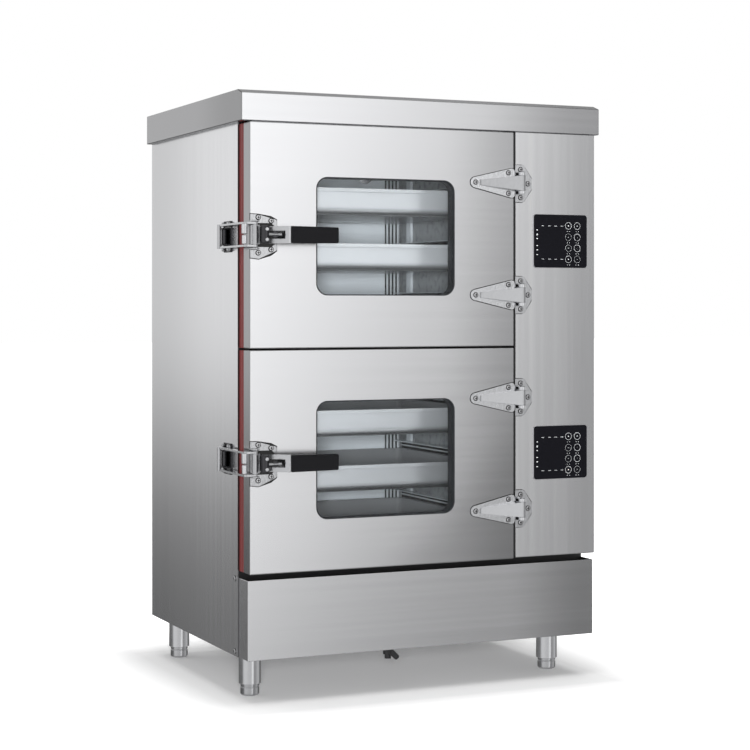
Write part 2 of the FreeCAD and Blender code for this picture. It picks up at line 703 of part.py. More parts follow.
def hinge_leaf(middle):
    """Make one column leaf with two knuckles, one above and one below the strap's barrel."""
    half = s.leaf_half
    left, right = COLUMN_LEFT + 1, HINGE_ACROSS + s.leaf_reach
    plate = outline("XZ_Plane", [
        (left, middle - half), (left + 18, middle - half), (right, middle - 9),
        (right, middle + 9), (left + 18, middle + half), (left, middle + half),
    ], s.column_front - s.leaf_thick, s.column_front, [(as_size(7), (1, 2, 3, 4))])
    knuckles = []
    axis_spot = (HINGE_ACROSS, -s.hinge_proud)
    for side in (1, -1):
        near = middle + side * (s.barrel_half + s.knuckle_gap)
        far = middle + side * s.knuckle_half
        span = (near, far) if side > 0 else (far, near)
        arm = box((HINGE_ACROSS - s.barrel_radius, HINGE_ACROSS + s.barrel_radius),
                  (-s.hinge_proud, s.column_front - s.leaf_thick), span)
        knuckles.append(arm)
        knuckles.append(rod("Z", axis_spot, span, s.barrel_radius))
    ends = (middle - s.knuckle_half, middle + s.knuckle_half)
    bore = rod("Z", axis_spot, (ends[0] - 1, ends[1] + 1), s.pin_radius)
    pin = fuse(rod("Z", axis_spot, ends, s.pin_radius),
               cone("Z", axis_spot, (ends[1], ends[1] + 2), s.pin_radius + 2, s.pin_radius))
    return [cut(fuse(plate, *knuckles), bore), pin]


def hinge_leaves():
    """Make the four column leaves with their pins."""
    pieces = []
    for level in LEVELS:
        for middle in level.hinges:
            pieces.extend(hinge_leaf(middle))
    finish("hinge_leaves", group(*pieces))


for level in LEVELS:
    finish(f"{level.word}_hinge_straps", group(*[hinge_strap(up) for up in level.hinges]))
hinge_leaves()


# Latches
PIVOT = (s.door_left + s.lever_inset, -s.lever_proud)
LINK_PIN = (PIVOT[0] - s.link_back, PIVOT[1] - s.link_proud)
GRIP_START = PIVOT[0] + s.lever_length
CROSSBAR_BACK = s.keeper_front + s.keeper_depth / 2
EAR_NEAR = s.link_half + 1
EAR_FAR = s.link_half + 4
LATCH_SCREWS = ((14.7, 31), (14.7, -31), (38.7, 25), (38.7, -25))


def latch(level):
    """Make one latch: base on the door, lever with its grip, and the link round the edge."""
    word = level.word
    middle = level.middle
    base_front = -s.latch_base_thick

    plate = outline("XZ_Plane", [
        (s.door_left, middle - 40), (s.door_left + 16, middle - 42),
        (s.door_left + 50, middle - 27), (s.door_left + 50, middle + 27),
        (s.door_left + 16, middle + 36), (s.door_left, middle + 37),
    ], base_front, as_size(0), [(as_size(4), (2, 3))])
    ears = []
    for near, far in ((-EAR_FAR, -EAR_NEAR), (EAR_NEAR, EAR_FAR)):
        span = (middle + near, middle + far)
        ears.append(box((PIVOT[0] - 7, PIVOT[0] + 7), (PIVOT[1], base_front), span))
        ears.append(rod("Z", PIVOT, span, 7))
    pivot = rod("Z", PIVOT, (middle - EAR_FAR, middle + EAR_FAR), s.pivot_radius)
    finish(f"{word}_latch_base", fuse(plate, *ears, pivot))

    grip_back = -s.latch_reach + s.grip_thick
    tang_front = -s.latch_reach + (s.grip_thick - s.tang_thick) / 2
    tang_back = tang_front + s.tang_thick
    tang_end = GRIP_START + s.grip_length / 2
    thick = s.tang_thick
    arm = outline("XY_Plane", [
        (PIVOT[0], PIVOT[1] - 4), (PIVOT[0] + 26, PIVOT[1] - 8),
        (GRIP_START - 4, tang_front), (tang_end, tang_front), (tang_end, tang_back),
        (GRIP_START - 2, tang_back), (PIVOT[0] + 29, PIVOT[1] - 8 + thick),
        (PIVOT[0], PIVOT[1] + 4),
    ], middle - s.lever_half, middle + s.lever_half)
    fork = box((PIVOT[0] + 17, GRIP_START - 9), (-s.latch_reach, as_size(0)),
               (middle - 7, middle + 7))
    narrow = []
    for low, high in ((-s.lever_half - 1, as_size(-8)), (as_size(8), s.lever_half + 1)):
        narrow.append(box((GRIP_START, tang_end + 1), (-s.latch_reach, as_size(0)),
                          (middle + low, middle + high)))
    span = (middle - s.link_half + s.link_bar + 1, middle + s.link_half - s.link_bar - 1)
    hub = rod("Z", PIVOT, span, 8)
    lug = rod("Z", LINK_PIN, span, 5.5)
    bridge = box((LINK_PIN[0] - 1, PIVOT[0]), (LINK_PIN[1], PIVOT[1]), span)
    wide = (span[0] - 1, span[1] + 1)
    finish(f"{word}_latch_lever", cut(
        fuse(cut(arm, fork, *narrow), hub, lug, bridge),
        rod("Z", PIVOT, wide, s.pivot_radius + s.latch_play),
        rod("Z", LINK_PIN, wide, s.link_pin_radius + s.latch_play),
    ))

    grip_end = GRIP_START + s.grip_length
    grip = outline("XZ_Plane", [
        (GRIP_START, middle - s.grip_half), (grip_end, middle - s.grip_half + 1),
        (grip_end, middle + s.grip_half - 1), (GRIP_START, middle + s.grip_half),
    ], -s.latch_reach, grip_back, [(as_size(2), ALL_CORNERS)])
    pocket = box((GRIP_START - 1, tang_end), (tang_front, tang_back),
                 (middle - 8, middle + 8))
    finish(f"{word}_latch_grip", cut(grip, pocket))

    bar_back = CROSSBAR_BACK + s.crossbar_radius
    bar_left = -LINK_REACH + 2.5
    bar_right = bar_left + 8.5
    arms = []
    for near, far in ((-s.link_half, -s.link_half + s.link_bar),
                      (s.link_half - s.link_bar, s.link_half)):
        arms.append(outline("XY_Plane", [
            (LINK_PIN[0] + 4.5, LINK_PIN[1] - 4.5), (LINK_PIN[0] + 4.5, LINK_PIN[1] + 4.5),
            (bar_right, LINK_PIN[1] + 4.5), (bar_right, bar_back), (bar_left, bar_back),
            (bar_left, LINK_PIN[1] - 4.5),
        ], middle + near, middle + far, [(as_size(4.2), (0, 1, 3, 4)), (as_size(7), (5,))]))
    ends = (middle - s.link_half, middle + s.link_half)
    crossbar = rod("Z", (-LINK_REACH + s.crossbar_radius, CROSSBAR_BACK), ends,
                   s.crossbar_radius)
    pin = rod("Z", LINK_PIN, ends, s.link_pin_radius)
    finish(f"{word}_latch_link", fuse(*arms, crossbar, pin))


def latch_keepers():
    """Make the two keepers on the left side panel, each with its roller."""
    keepers = []
    for level in LEVELS:
        middle = level.middle
        back = (s.keeper_front, s.keeper_front + s.keeper_depth)
        post_back = (back[0] + 10, back[1] - 9)
        plate = outline("YZ_Plane", rectangle(back, (middle - s.keeper_half,
                                                     middle + s.keeper_half)),
                        -s.keeper_thick, as_size(0), [(as_size(4), ALL_CORNERS)])
        reach = -s.keeper_thick - 2 * s.roller_radius
        ears = [box((reach, -s.keeper_thick), post_back, (middle + low, middle + low + 3))
                for low in (-16, 13)]
        roller = rod("Z", (reach + s.roller_radius, (post_back[0] + post_back[1]) / 2),
                     (middle - 13, middle + 13), s.roller_radius)
        keepers.append(fuse(plate, *ears))
        keepers.append(roller)
    finish("latch_keepers", group(*keepers))


for level in LEVELS:
    latch(level)
latch_keepers()


# Controls
def control_panels():
    """Make the two touch panels on the column."""
    panels = []
    for middle in PANEL_MIDDLES:
        up = (FLOOR + middle - s.panel_height / 2, FLOOR + middle + s.panel_height / 2)
        panels.append(outline(
            "XZ_Plane", rectangle((PANEL_LEFT, PANEL_LEFT + s.panel_width), up),
            s.column_front - s.panel_thick, s.column_front, [(s.panel_round, ALL_CORNERS)],
        ))
    finish("control_panels", group(*panels))


def control_boards():
    """Make the circuit boards behind the panels, on four standoffs each."""
    boards = []
    centre = PANEL_CENTRE
    behind = s.column_front + s.panel_sheet
    face = behind + s.board_gap
    for middle in PANEL_MIDDLES:
        height = FLOOR + middle
        half_width, half_height = s.board_width / 2, s.board_height / 2
        pieces = [box((centre - half_width, centre + half_width), (face, face + s.board_thick),
                      (height - half_height, height + half_height))]
        for side in (-1, 1):
            for up in (-1, 1):
                spot = (centre + side * (half_width - 5), height + up * (half_height - 4))
                pieces.append(rod("Y", spot, (behind, face), s.standoff_radius))
        rear_face = face + s.board_thick
        half_chip = s.board_chip / 2
        pieces.append(box((centre - half_chip, centre + half_chip), (face - s.board_gap / 2, face),
                          (height - half_chip * 0.6, height + half_chip * 0.6)))
        for side in (-1, 1):
            middle_relay = centre + side * half_width / 2
            pieces.append(box((middle_relay - s.board_relay / 2, middle_relay + s.board_relay / 2),
                              (rear_face, rear_face + s.board_relay),
                              (height - s.board_relay / 2, height + s.board_relay / 2)))
        boards.append(fuse(*pieces))
    finish("control_boards", group(*boards))


def power_contactors():
    """Make two contactors and a terminal block on the right side panel."""
    wall, edge = INSIDE_RIGHT, 4
    pieces = []

    def stepped(back, low, depth, height, body, nose):
        """Make a block on the wall with a narrower front."""
        return fuse(
            box((wall - body, wall), (back, back + depth), (low, low + height)),
            box((wall - body - nose, wall - body), (back + edge, back + depth - edge),
                (low + height / 4, low + height * 0.75)),
        )

    low = FLOOR + s.contactor_up
    pitch = s.contactor_width + s.contactor_gap
    for index in (0, 1):
        pieces.append(stepped(s.contactor_back + index * pitch, low, s.contactor_width,
                              s.contactor_height, s.contactor_body, s.contactor_nose))
    pieces.append(stepped(s.contactor_back, low - s.terminal_drop, pitch + s.contactor_width,
                          s.terminal_height, s.terminal_body, s.terminal_nose))
    finish("power_contactors", group(*pieces))


control_panels()
control_boards()
power_contactors()


# Steam works
def boilers():
    """Make the two boilers: tanks on legs, with a lid, a heater hole and a steam outlet."""
    tanks = []
    back = (s.boiler_front, s.boiler_front + s.boiler_depth)
    wall = s.boiler_wall
    for level in LEVELS:
        across = (level.boiler_left, level.boiler_left + s.boiler_width)
        tank = box(across, back, (BOILER_FLOOR, BOILER_TOP))
        lid = box((across[0] - s.lid_edge, across[1] + s.lid_edge),
                  (back[0] - s.lid_edge, back[1] + s.lid_edge), (BOILER_TOP, BOILER_TOP + 2))
        legs = [
            rod("Z", (side, depth), (PAN_TOP, BOILER_FLOOR), 8)
            for side in (across[0] + 20, across[1] - 20)
            for depth in (back[0] + 20, back[1] - 20)
        ]
        hollow = box((across[0] + wall, across[1] - wall), (back[0] + wall, back[1] - wall),
                     (BOILER_FLOOR + wall, BOILER_TOP))
        heater = rod("Y", (level.boiler_middle, HEATER_UP), (back[0] - 1, back[0] + wall + 1),
                     s.heater_flange - 8)
        outlet = rod("Y", (level.boiler_middle, STEAM_UP), (back[1] - wall - 1, back[1] + 1),
                     s.steam_radius - s.steam_wall)
        tanks.append(cut(fuse(tank, lid, *legs), hollow, heater, outlet))
    finish("boilers", group(*tanks))


def heaters():
    """Make the heating elements: three hairpins on a flange in each boiler."""
    elements = []
    flange_back = (s.boiler_front - 4, s.boiler_front)
    far = s.boiler_front + s.heater_length
    for level in LEVELS:
        centre = level.boiler_middle
        pieces = [rod("Y", (centre, HEATER_UP), flange_back, s.heater_flange)]
        for step in (-1, 0, 1):
            up = HEATER_UP + step * s.heater_step
            for side in (-1, 1):
                spot = (centre + side * s.heater_half_pitch, up)
                pieces.append(rod("Y", spot, (flange_back[0] - 12, far), s.heater_radius))
            bend = doc.addObject("Part::Torus", "bend")
            bind(bend, Radius1=s.heater_half_pitch, Radius2=s.heater_radius, Angle3=180)
            pieces.append(place(bend, centre, far, up))
        elements.append(fuse(*pieces))
    finish("heaters", group(*elements))


boilers()
heaters()


def bent_path(points, bend):
    """Make a path of straight runs joined by arcs of one radius."""
    edges = []
    start = points[0]
    for index in range(1, len(points) - 1):
        corner = points[index]
        before = (points[index - 1] - corner).normalize()
        after = (points[index + 1] - corner).normalize()
        reach = bend / math.tan(before.getAngle(after) / 2)
        enter, leave = corner + before * reach, corner + after * reach
        inward = (before + after).normalize()
        centre = corner + inward * (bend / math.sin(before.getAngle(after) / 2))
        edges.append(Part.LineSegment(start, enter).toShape())
        edges.append(Part.Arc(enter, centre - inward * bend, leave).toShape())
        start = leave
    edges.append(Part.LineSegment(start, points[-1]).toShape())
    return Part.Wire(edges)


def steam_pipes():
    """Make the risers from the boilers' rear walls to the chambers' rear walls."""
    risers = []
    leaving = s.boiler_front.value + s.boiler_depth.value
    arriving = (CHAMBER_REAR + s.liner_sheet).value
    for level in LEVELS:
        across = level.boiler_middle.value
        turn = RISER_BACK.value
        points = [
            FreeCAD.Vector(across, leaving, STEAM_UP.value),
            FreeCAD.Vector(across, turn, STEAM_UP.value),
            FreeCAD.Vector(across, turn, level.steam_inlet.value),
            FreeCAD.Vector(across, arriving, level.steam_inlet.value),
        ]
        path = bent_path(points, s.riser_bend.value)
        skins = []
        for radius in (s.steam_radius.value, s.steam_radius.value - s.steam_wall.value):
            ring = Part.Wire(Part.makeCircle(radius, points[0], FreeCAD.Vector(0, 1, 0)))
            skins.append(path.makePipeShell([ring], True, False))
        riser = doc.addObject("Part::Feature", "riser")
        riser.Shape = skins[0].cut(skins[1])
        risers.append(riser)
    finish("steam_pipes", group(*risers))


def vent_pipes():
    """Make the two vents from the chambers through the rear panel, each with a collar."""
    vents = []
    span = (CHAMBER_REAR + s.liner_sheet, REAR + s.pipe_reach)
    bore = s.vent_radius - s.vent_wall
    for level in LEVELS:
        pipe = rod("Y", level.vent, span, s.vent_radius)
        collar = rod("Y", level.vent, (REAR, REAR + 1.5), s.vent_radius + s.vent_collar)
        vents.append(cut(fuse(pipe, collar), rod("Y", level.vent, (span[0] - 1, span[1] + 1), bore)))
    finish("vent_pipes", group(*vents))


steam_pipes()
vent_pipes()


# Water
FLOAT_FRONT = s.boiler_front + s.boiler_depth - s.float_box_lap
FLOAT_REAR = FLOAT_FRONT + s.float_box_depth
FLOAT_PIVOT = (FLOAT_REAR - 15, PAN_TOP + s.float_pivot_up)
FLOAT_MIDDLE = (s.float_box_left + FLOAT_RIGHT) / 2


def float_box():
    """Make the float box with the float's ears and pin, and the pipes to the boilers."""
    wall = s.boiler_wall
    across, back = (s.float_box_left, FLOAT_RIGHT), (FLOAT_FRONT, FLOAT_REAR)
    up = (PAN_TOP, PAN_TOP + s.float_box_height)
    shell = box(across, back, up)
    hollow = box((across[0] + wall, across[1] - wall), (back[0] + wall, back[1] - wall),
                 (up[0] + wall, up[1] - wall))
    ears = [
        box((FLOAT_MIDDLE + side - 1.5, FLOAT_MIDDLE + side + 1.5),
            (FLOAT_PIVOT[0] - 5, back[1] - wall), (FLOAT_PIVOT[1] - 5, FLOAT_PIVOT[1] + 5))
        for side in (-8, 8)
    ]
    pin = rod("X", FLOAT_PIVOT, (FLOAT_MIDDLE - 9.5, FLOAT_MIDDLE + 9.5), 2.5)
    level_up = BOILER_FLOOR + 18
    link_back = FLOAT_FRONT + 12
    hole = s.link_pipe_radius - 1
    pieces = [cut(fuse(cut(shell, hollow), *ears, pin),
                  rod("X", (link_back, level_up), (across[0] - 1, across[0] + wall + 1), hole))]
    right_boiler, left_boiler = UPPER.boiler_left, LOWER.boiler_left
    for start, end in ((right_boiler + s.boiler_width, across[0]),
                       (left_boiler + s.boiler_width, right_boiler)):
        pieces.append(tube("X", (link_back, level_up), (start, end), s.link_pipe_radius, hole, 1))
    finish("float_box", group(*pieces))


def float_arm():
    """Make the float: a drum on a stem, with an arm and an eye round the pin."""
    stem_back = FLOAT_PIVOT[0] - s.float_arm
    spot = (FLOAT_MIDDLE, stem_back)
    low = FLOAT_PIVOT[1] - s.float_drop - s.float_tall / 2
    eye = rod("X", FLOAT_PIVOT, (FLOAT_MIDDLE - 5, FLOAT_MIDDLE + 5), 5)
    arm = box((FLOAT_MIDDLE - 3, FLOAT_MIDDLE + 3), (stem_back - 3, FLOAT_PIVOT[0]),
              (FLOAT_PIVOT[1] - 2, FLOAT_PIVOT[1] + 2))
    stem = rod("Z", spot, (low + s.float_tall, FLOAT_PIVOT[1]), 2)
    drum = rod("Z", spot, (low, low + s.float_tall), s.float_radius)
    bore = rod("X", FLOAT_PIVOT, (FLOAT_MIDDLE - 6, FLOAT_MIDDLE + 6), 2.5 + 0.2)
    finish("float", cut(fuse(eye, arm, stem, drum), bore))


def water_inlet_valve():
    """Make the inlet: threaded nipple, valve block with its coil, and the pipe to the float box."""
    up = PAN_TOP + s.inlet_up
    centre = (INLET_ACROSS, up)
    block_front = INSIDE_REAR - 50
    collar = rod("Y", centre, (REAR, REAR + 4), s.inlet_radius + 5)
    nipple = rod("Y", centre, (INSIDE_REAR - 1, REAR + s.inlet_reach), s.inlet_radius)
    block = box((INLET_ACROSS - s.valve_half, INLET_ACROSS + s.valve_half),
                (block_front, INSIDE_REAR),
                (up - 18, up + 18))
    coil = box((INLET_ACROSS - 15, INLET_ACROSS + 15), (block_front + 8, INSIDE_REAR - 8),
               (up + 18, up + 50))
    pipe = rod("X", (block_front + 10, up), (FLOAT_RIGHT, INLET_ACROSS - s.valve_half), 6)
    bore = rod("Y", centre, (INSIDE_REAR - 20, REAR + s.inlet_reach + 1), 7.5)
    finish("water_inlet_valve", cut(fuse(collar, nipple, block, coil, pipe), bore))


float_box()
float_arm()
water_inlet_valve()

DRAIN_STEM_UP = FLOOR - s.drain_drop * 0.7
LEVER_FRONT = s.drain_back - s.drain_radius - 10


def drain_valve():
    """Make the drain: pipe from the boiler, cock under the pan, and its spout."""
    spot = (s.drain_across, s.drain_back)
    pipe_up = BOILER_FLOOR + 14
    drop = FLOOR - s.drain_drop
    down_pipe = rod("Z", spot, (FLOOR, pipe_up + s.spout_radius), s.spout_radius)
    across_pipe = rod("Y", (s.drain_across, pipe_up), (s.drain_back, s.boiler_front),
                      s.spout_radius - 0.6)
    cock = rod("Z", spot, (drop, FLOOR), s.drain_radius)
    spout = rod("Z", spot, (drop - s.spout_drop, drop), s.spout_radius)
    stem = rod("Y", (s.drain_across, DRAIN_STEM_UP), (LEVER_FRONT - 1, s.drain_back), 3)
    bore = rod("Z", spot, (drop - s.spout_drop - 1, FLOOR - 2), s.spout_radius - 2)
    finish("drain_valve", cut(fuse(down_pipe, across_pipe, cock, spout, stem), bore))


def drain_lever():
    """Make the cock's lever, which points down to the right when the drain is shut."""
    reach = s.drain_lever_length * math.sin(math.radians(45))
    across, up = s.drain_across, DRAIN_STEM_UP
    back = (LEVER_FRONT, LEVER_FRONT + 5)
    blade = outline("XZ_Plane", [
        (across - 3.5, up - 3.5), (across + 3.5, up + 3.5),
        (across + reach + 3.5, up - reach + 3.5), (across + reach - 3.5, up - reach - 3.5),
    ], back[0], back[1], [(as_size(3), (2, 3))])
    hub = rod("Y", (across, up), back, 5)
    bore = rod("Y", (across, up), (back[0] - 1, back[1] + 1), 3.2)
    finish("drain_lever", cut(fuse(blade, hub), bore))


drain_valve()
drain_lever()


def cable_gland():
    """Make the gland in the rear panel: threaded tail, flange and clamping nut, with its bore."""
    centre = (GLAND_ACROSS, FLOOR + s.gland_up)
    tail = rod("Y", centre, (REAR - s.gland_tail, REAR), s.gland_radius)
    flange = rod("Y", centre, (REAR, REAR + 5), s.gland_radius + 4)
    nut = cone("Y", centre, (REAR + 5, REAR + s.gland_reach),
               s.gland_radius + 2, s.gland_radius - 2)
    bore = rod("Y", centre, (REAR - s.gland_tail - 1, REAR + s.gland_reach + 1),
               s.gland_bore)
    finish("cable_gland", cut(fuse(tail, flange, nut), bore))


cable_gland()


# Feet
def foot_sleeves():
    """Make the four foot tubes, each with a plug, a stud through the pan and its nut."""
    pieces = []
    for centre in foot_centres():
        sleeve = rod("Z", centre, (s.insert_shown, FLOOR), s.sleeve_radius)
        bore = rod("Z", centre, (s.insert_shown - 1, FLOOR - s.sleeve_plug),
                   s.insert_radius + s.insert_play)
        stud = rod("Z", centre, (FLOOR - 2, PAN_TOP + s.stud_rise), s.stud_radius)
        pieces.append(cut(fuse(sleeve, stud), bore))
        nut = cut(rod("Z", centre, (PAN_TOP, PAN_TOP + 6), s.stud_radius + 4),
                  rod("Z", centre, (PAN_TOP - 1, PAN_TOP + 7), s.stud_radius))
        pieces.append(nut)
    finish("foot_sleeves", group(*pieces))


def foot_inserts():
    """Make the four inserts that screw out of the tubes and stand on the floor."""
    names = ("front_left", "front_right", "rear_left", "rear_right")
    for name, centre in zip(names, foot_centres()):
        radius = s.insert_radius
        finish(f"foot_insert_{name}", fuse(
            cone("Z", centre, (as_size(0), as_size(2)), radius - 2, radius),
            rod("Z", centre, (as_size(2), s.insert_length), radius),
        ))


foot_sleeves()
foot_inserts()


# Fasteners
def body_screws():
    """Make the screw heads on the casing, the keepers and the column leaves."""
    heads = []
    for face, outward in ((as_size(0), -1), (RIGHT, 1)):
        for up in (8.6, 137.8):
            heads.append(screw("X", (s.body_front + 14, FLOOR + up), face, outward))
    for across in (s.panel_flange / 2, RIGHT - s.panel_flange / 2):
        for step in range(5):
            up = FLOOR + 20 + step * (TOP - FLOOR - 40) / 4
            heads.append(screw("Y", (across, up), REAR, 1))
    leaf_face = s.column_front - s.leaf_thick
    for level in LEVELS:
        for middle in level.hinges:
            for across, up in ((COLUMN_LEFT + 12, 26), (COLUMN_LEFT + 12, -26),
                               (COLUMN_LEFT + 27.5, 0)):
                heads.append(screw("Y", (across, middle + up), leaf_face, -1))
        for back in (6, s.keeper_depth.value - 6):
            for up in (-22, 22):
                spot = (s.keeper_front + back, level.middle + up)
                heads.append(screw("X", spot, -s.keeper_thick, -1))
    finish("body_screws", group(*heads))


def door_screws(level):
    """Make the screw heads on one door's straps and latch base."""
    heads = []
    for middle in level.hinges:
        for across, up in ((STRAP_TIP, 0), (STRAP_ROOT - 6, 19), (STRAP_ROOT - 6, -19)):
            heads.append(screw("Y", (across, middle + up), -s.leaf_thick, -1))
    for across, up in LATCH_SCREWS:
        spot = (s.door_left + across, level.middle + up)
        heads.append(screw("Y", spot, -s.latch_base_thick, -1))
    finish(f"{level.word}_door_screws", group(*heads))


body_screws()
for level in LEVELS:
    door_screws(level)

doc.recompute()
faults = [thing.Name for thing in doc.Objects if {"Invalid", "Error"} & set(thing.State)]
faults += [
    piece.Label for piece in nodes if piece.Shape.isNull() or not piece.Shape.isValid()
]
if faults:
    raise SystemExit("These pieces failed: " + ", ".join(faults))

os.makedirs("parts", exist_ok=True)
for piece in nodes:
    piece.Shape.exportStep(f"parts/{piece.Label}.step")
print(len(nodes), "pieces written")
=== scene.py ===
import json
import math

import bmesh
import bpy
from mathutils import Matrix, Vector


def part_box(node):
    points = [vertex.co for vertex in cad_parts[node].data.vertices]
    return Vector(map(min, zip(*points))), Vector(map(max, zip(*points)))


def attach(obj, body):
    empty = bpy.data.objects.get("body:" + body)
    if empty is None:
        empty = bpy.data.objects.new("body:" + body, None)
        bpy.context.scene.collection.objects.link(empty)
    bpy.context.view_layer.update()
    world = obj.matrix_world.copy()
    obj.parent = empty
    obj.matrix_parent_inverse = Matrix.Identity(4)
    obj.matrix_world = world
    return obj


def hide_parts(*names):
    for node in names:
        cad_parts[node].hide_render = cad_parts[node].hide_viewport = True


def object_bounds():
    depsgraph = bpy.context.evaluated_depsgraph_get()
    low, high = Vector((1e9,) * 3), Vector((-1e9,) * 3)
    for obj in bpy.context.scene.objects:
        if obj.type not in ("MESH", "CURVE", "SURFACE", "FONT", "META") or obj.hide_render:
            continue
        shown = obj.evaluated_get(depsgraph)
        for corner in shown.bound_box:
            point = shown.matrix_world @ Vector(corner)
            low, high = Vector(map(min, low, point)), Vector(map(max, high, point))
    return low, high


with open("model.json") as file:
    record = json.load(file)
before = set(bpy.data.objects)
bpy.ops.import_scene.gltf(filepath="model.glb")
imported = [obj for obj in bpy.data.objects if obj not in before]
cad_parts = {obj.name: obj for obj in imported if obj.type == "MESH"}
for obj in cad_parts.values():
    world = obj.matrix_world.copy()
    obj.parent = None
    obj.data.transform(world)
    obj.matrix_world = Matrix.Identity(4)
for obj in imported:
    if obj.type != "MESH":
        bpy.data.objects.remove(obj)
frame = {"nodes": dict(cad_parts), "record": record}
CAD_BOUNDS = [list(corner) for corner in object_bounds()]

bl_info = {
    "name": "Steam cabinet",
    "version": (1, 0, 0),
    "blender": (4, 5, 0),
    "location": "3D View > Sidebar > Steam cabinet",
    "description": "Dresses a two-door steam cabinet with its steelwork, latches, hinges and trays",
    "category": "Object",
}

MM = 0.001
LEVELS = ("upper", "lower")


# Working in the mesh as by hand

def start_fresh():
    """Leave edit mode and deselect everything."""
    if bpy.context.mode != "OBJECT":
        bpy.ops.object.mode_set(mode="OBJECT")
    bpy.ops.object.select_all(action="DESELECT")


def hold(piece):
    """Select one piece alone."""
    start_fresh()
    piece.select_set(True)
    bpy.context.view_layer.objects.active = piece


def add_block(name, low, high):
    """Start a piece from a block between two corners."""
    start_fresh()
    low, high = Vector(low), Vector(high)
    bpy.ops.mesh.primitive_cube_add(size=1, location=(low + high) / 2, scale=high - low)
    piece = bpy.context.object
    piece.name = piece.data.name = name
    bpy.ops.object.transform_apply(location=True, rotation=True, scale=True)
    return piece


TURNS = {"X": (0, math.pi / 2, 0), "Y": (math.pi / 2, 0, 0), "Z": (0, 0, 0)}


def add_bar(name, axis, centre, length, radius, sides=32):
    """Start a piece from a round bar along an axis."""
    start_fresh()
    bpy.ops.mesh.primitive_cylinder_add(
        vertices=sides, radius=radius, depth=length, location=centre, rotation=TURNS[axis])
    piece = bpy.context.object
    piece.name = piece.data.name = name
    bpy.ops.object.transform_apply(location=True, rotation=True, scale=True)
    return piece


def pick(piece, wanted, kind="FACE"):
    """Open a piece in edit mode with the faces, edges or corners that pass a test selected."""
    hold(piece)
    bpy.ops.object.mode_set(mode="EDIT")
    bpy.ops.mesh.select_mode(type=kind)
    bpy.ops.mesh.select_all(action="DESELECT")
    mesh = bmesh.from_edit_mesh(piece.data)
    found = [part for part in {"FACE": mesh.faces, "EDGE": mesh.edges, "VERT": mesh.verts}[kind]
             if wanted(part)]
    if not found:
        raise RuntimeError(f"{piece.name}: nothing to work on here")
    for part in found:
        part.select_set(True)
    bmesh.update_edit_mesh(piece.data)


def facing(direction):
    """Test for faces that look along a direction."""
    direction = Vector(direction)
    return lambda face: face.normal.dot(direction) > 0.99


def middle(edge):
    """Give the middle of an edge."""
    return (edge.verts[0].co + edge.verts[1].co) / 2


def runs(edge, axis):
    """Tell whether an edge runs along an axis, 0 to 2."""
    way = (edge.verts[1].co - edge.verts[0].co).normalized()
    return abs(way[axis]) > 0.99


def near(value, goal, reach=0.0001):
    """Tell whether a value lies close to a goal."""
    return abs(value - goal) < reach


def extrude(x=0.0, y=0.0, z=0.0):
    """Draw the selection out along the axes."""
    bpy.ops.mesh.extrude_region_move(TRANSFORM_OT_translate={"value": (x, y, z)})


def split(piece, axis, level):
    """Cut new edges round a piece where it passes a level of an axis, 0 to 2."""
    pick(piece, lambda face: True)
    place, normal = Vector(), Vector()
    place[axis], normal[axis] = level, 1
    bpy.ops.mesh.bisect(plane_co=place, plane_no=normal)


def use_modifier(piece, kind, **values):
    """Give a piece a modifier and apply it."""
    hold(piece)
    modifier = piece.modifiers.new(kind.title(), kind)
    for name, value in values.items():
        setattr(modifier, name, value)
    bpy.ops.object.modifier_apply(modifier=modifier.name)


def take_away(piece, tool):
    """Cut one piece out of another and remove the cutter."""
    use_modifier(piece, "BOOLEAN", operation="DIFFERENCE", object=tool, solver="EXACT")
    bpy.data.objects.remove(tool)


def soften(piece, radius, segments=3, angle=30.0):
    """Round a piece's sharp edges and smooth its shading."""
    if radius:
        use_modifier(piece, "BEVEL", width=radius, segments=segments, limit_method="ANGLE",
                     angle_limit=math.radians(angle), use_clamp_overlap=True)
    hold(piece)
    bpy.ops.object.shade_smooth_by_angle(angle=math.radians(angle))
    use_modifier(piece, "WEIGHTED_NORMAL", keep_sharp=True, weight=100)


def join(name, pieces):
    """Join pieces into the first one."""
    hold(pieces[0])
    for piece in pieces[1:]:
        piece.select_set(True)
    bpy.ops.object.join()
    pieces[0].name = pieces[0].data.name = name
    return pieces[0]


def copy_to(piece, name, shift):
    """Copy a piece, with a mesh of its own, to another place."""
    hold(piece)
    bpy.ops.object.duplicate(linked=False)
    twin = bpy.context.object
    twin.name = twin.data.name = name
    twin.location = shift
    bpy.ops.object.transform_apply(location=True, rotation=False, scale=False)
    return twin


def repeat(piece, shifts):
    """Give a piece and its copies at some shifts as one list, to be joined."""
    return [piece] + [copy_to(piece, piece.name, shift) for shift in shifts]


def fit(piece, body, slot, finish, *nodes):
    """Give a finished piece its finish, the body it rides on and the CAD nodes it stands for."""
    start_fresh()
    piece.data.materials.clear()
    piece.data.materials.append(bpy.data.materials[finish])
    if nodes:
        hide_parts(*nodes)
    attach(piece, body)
    return piece


# Settings

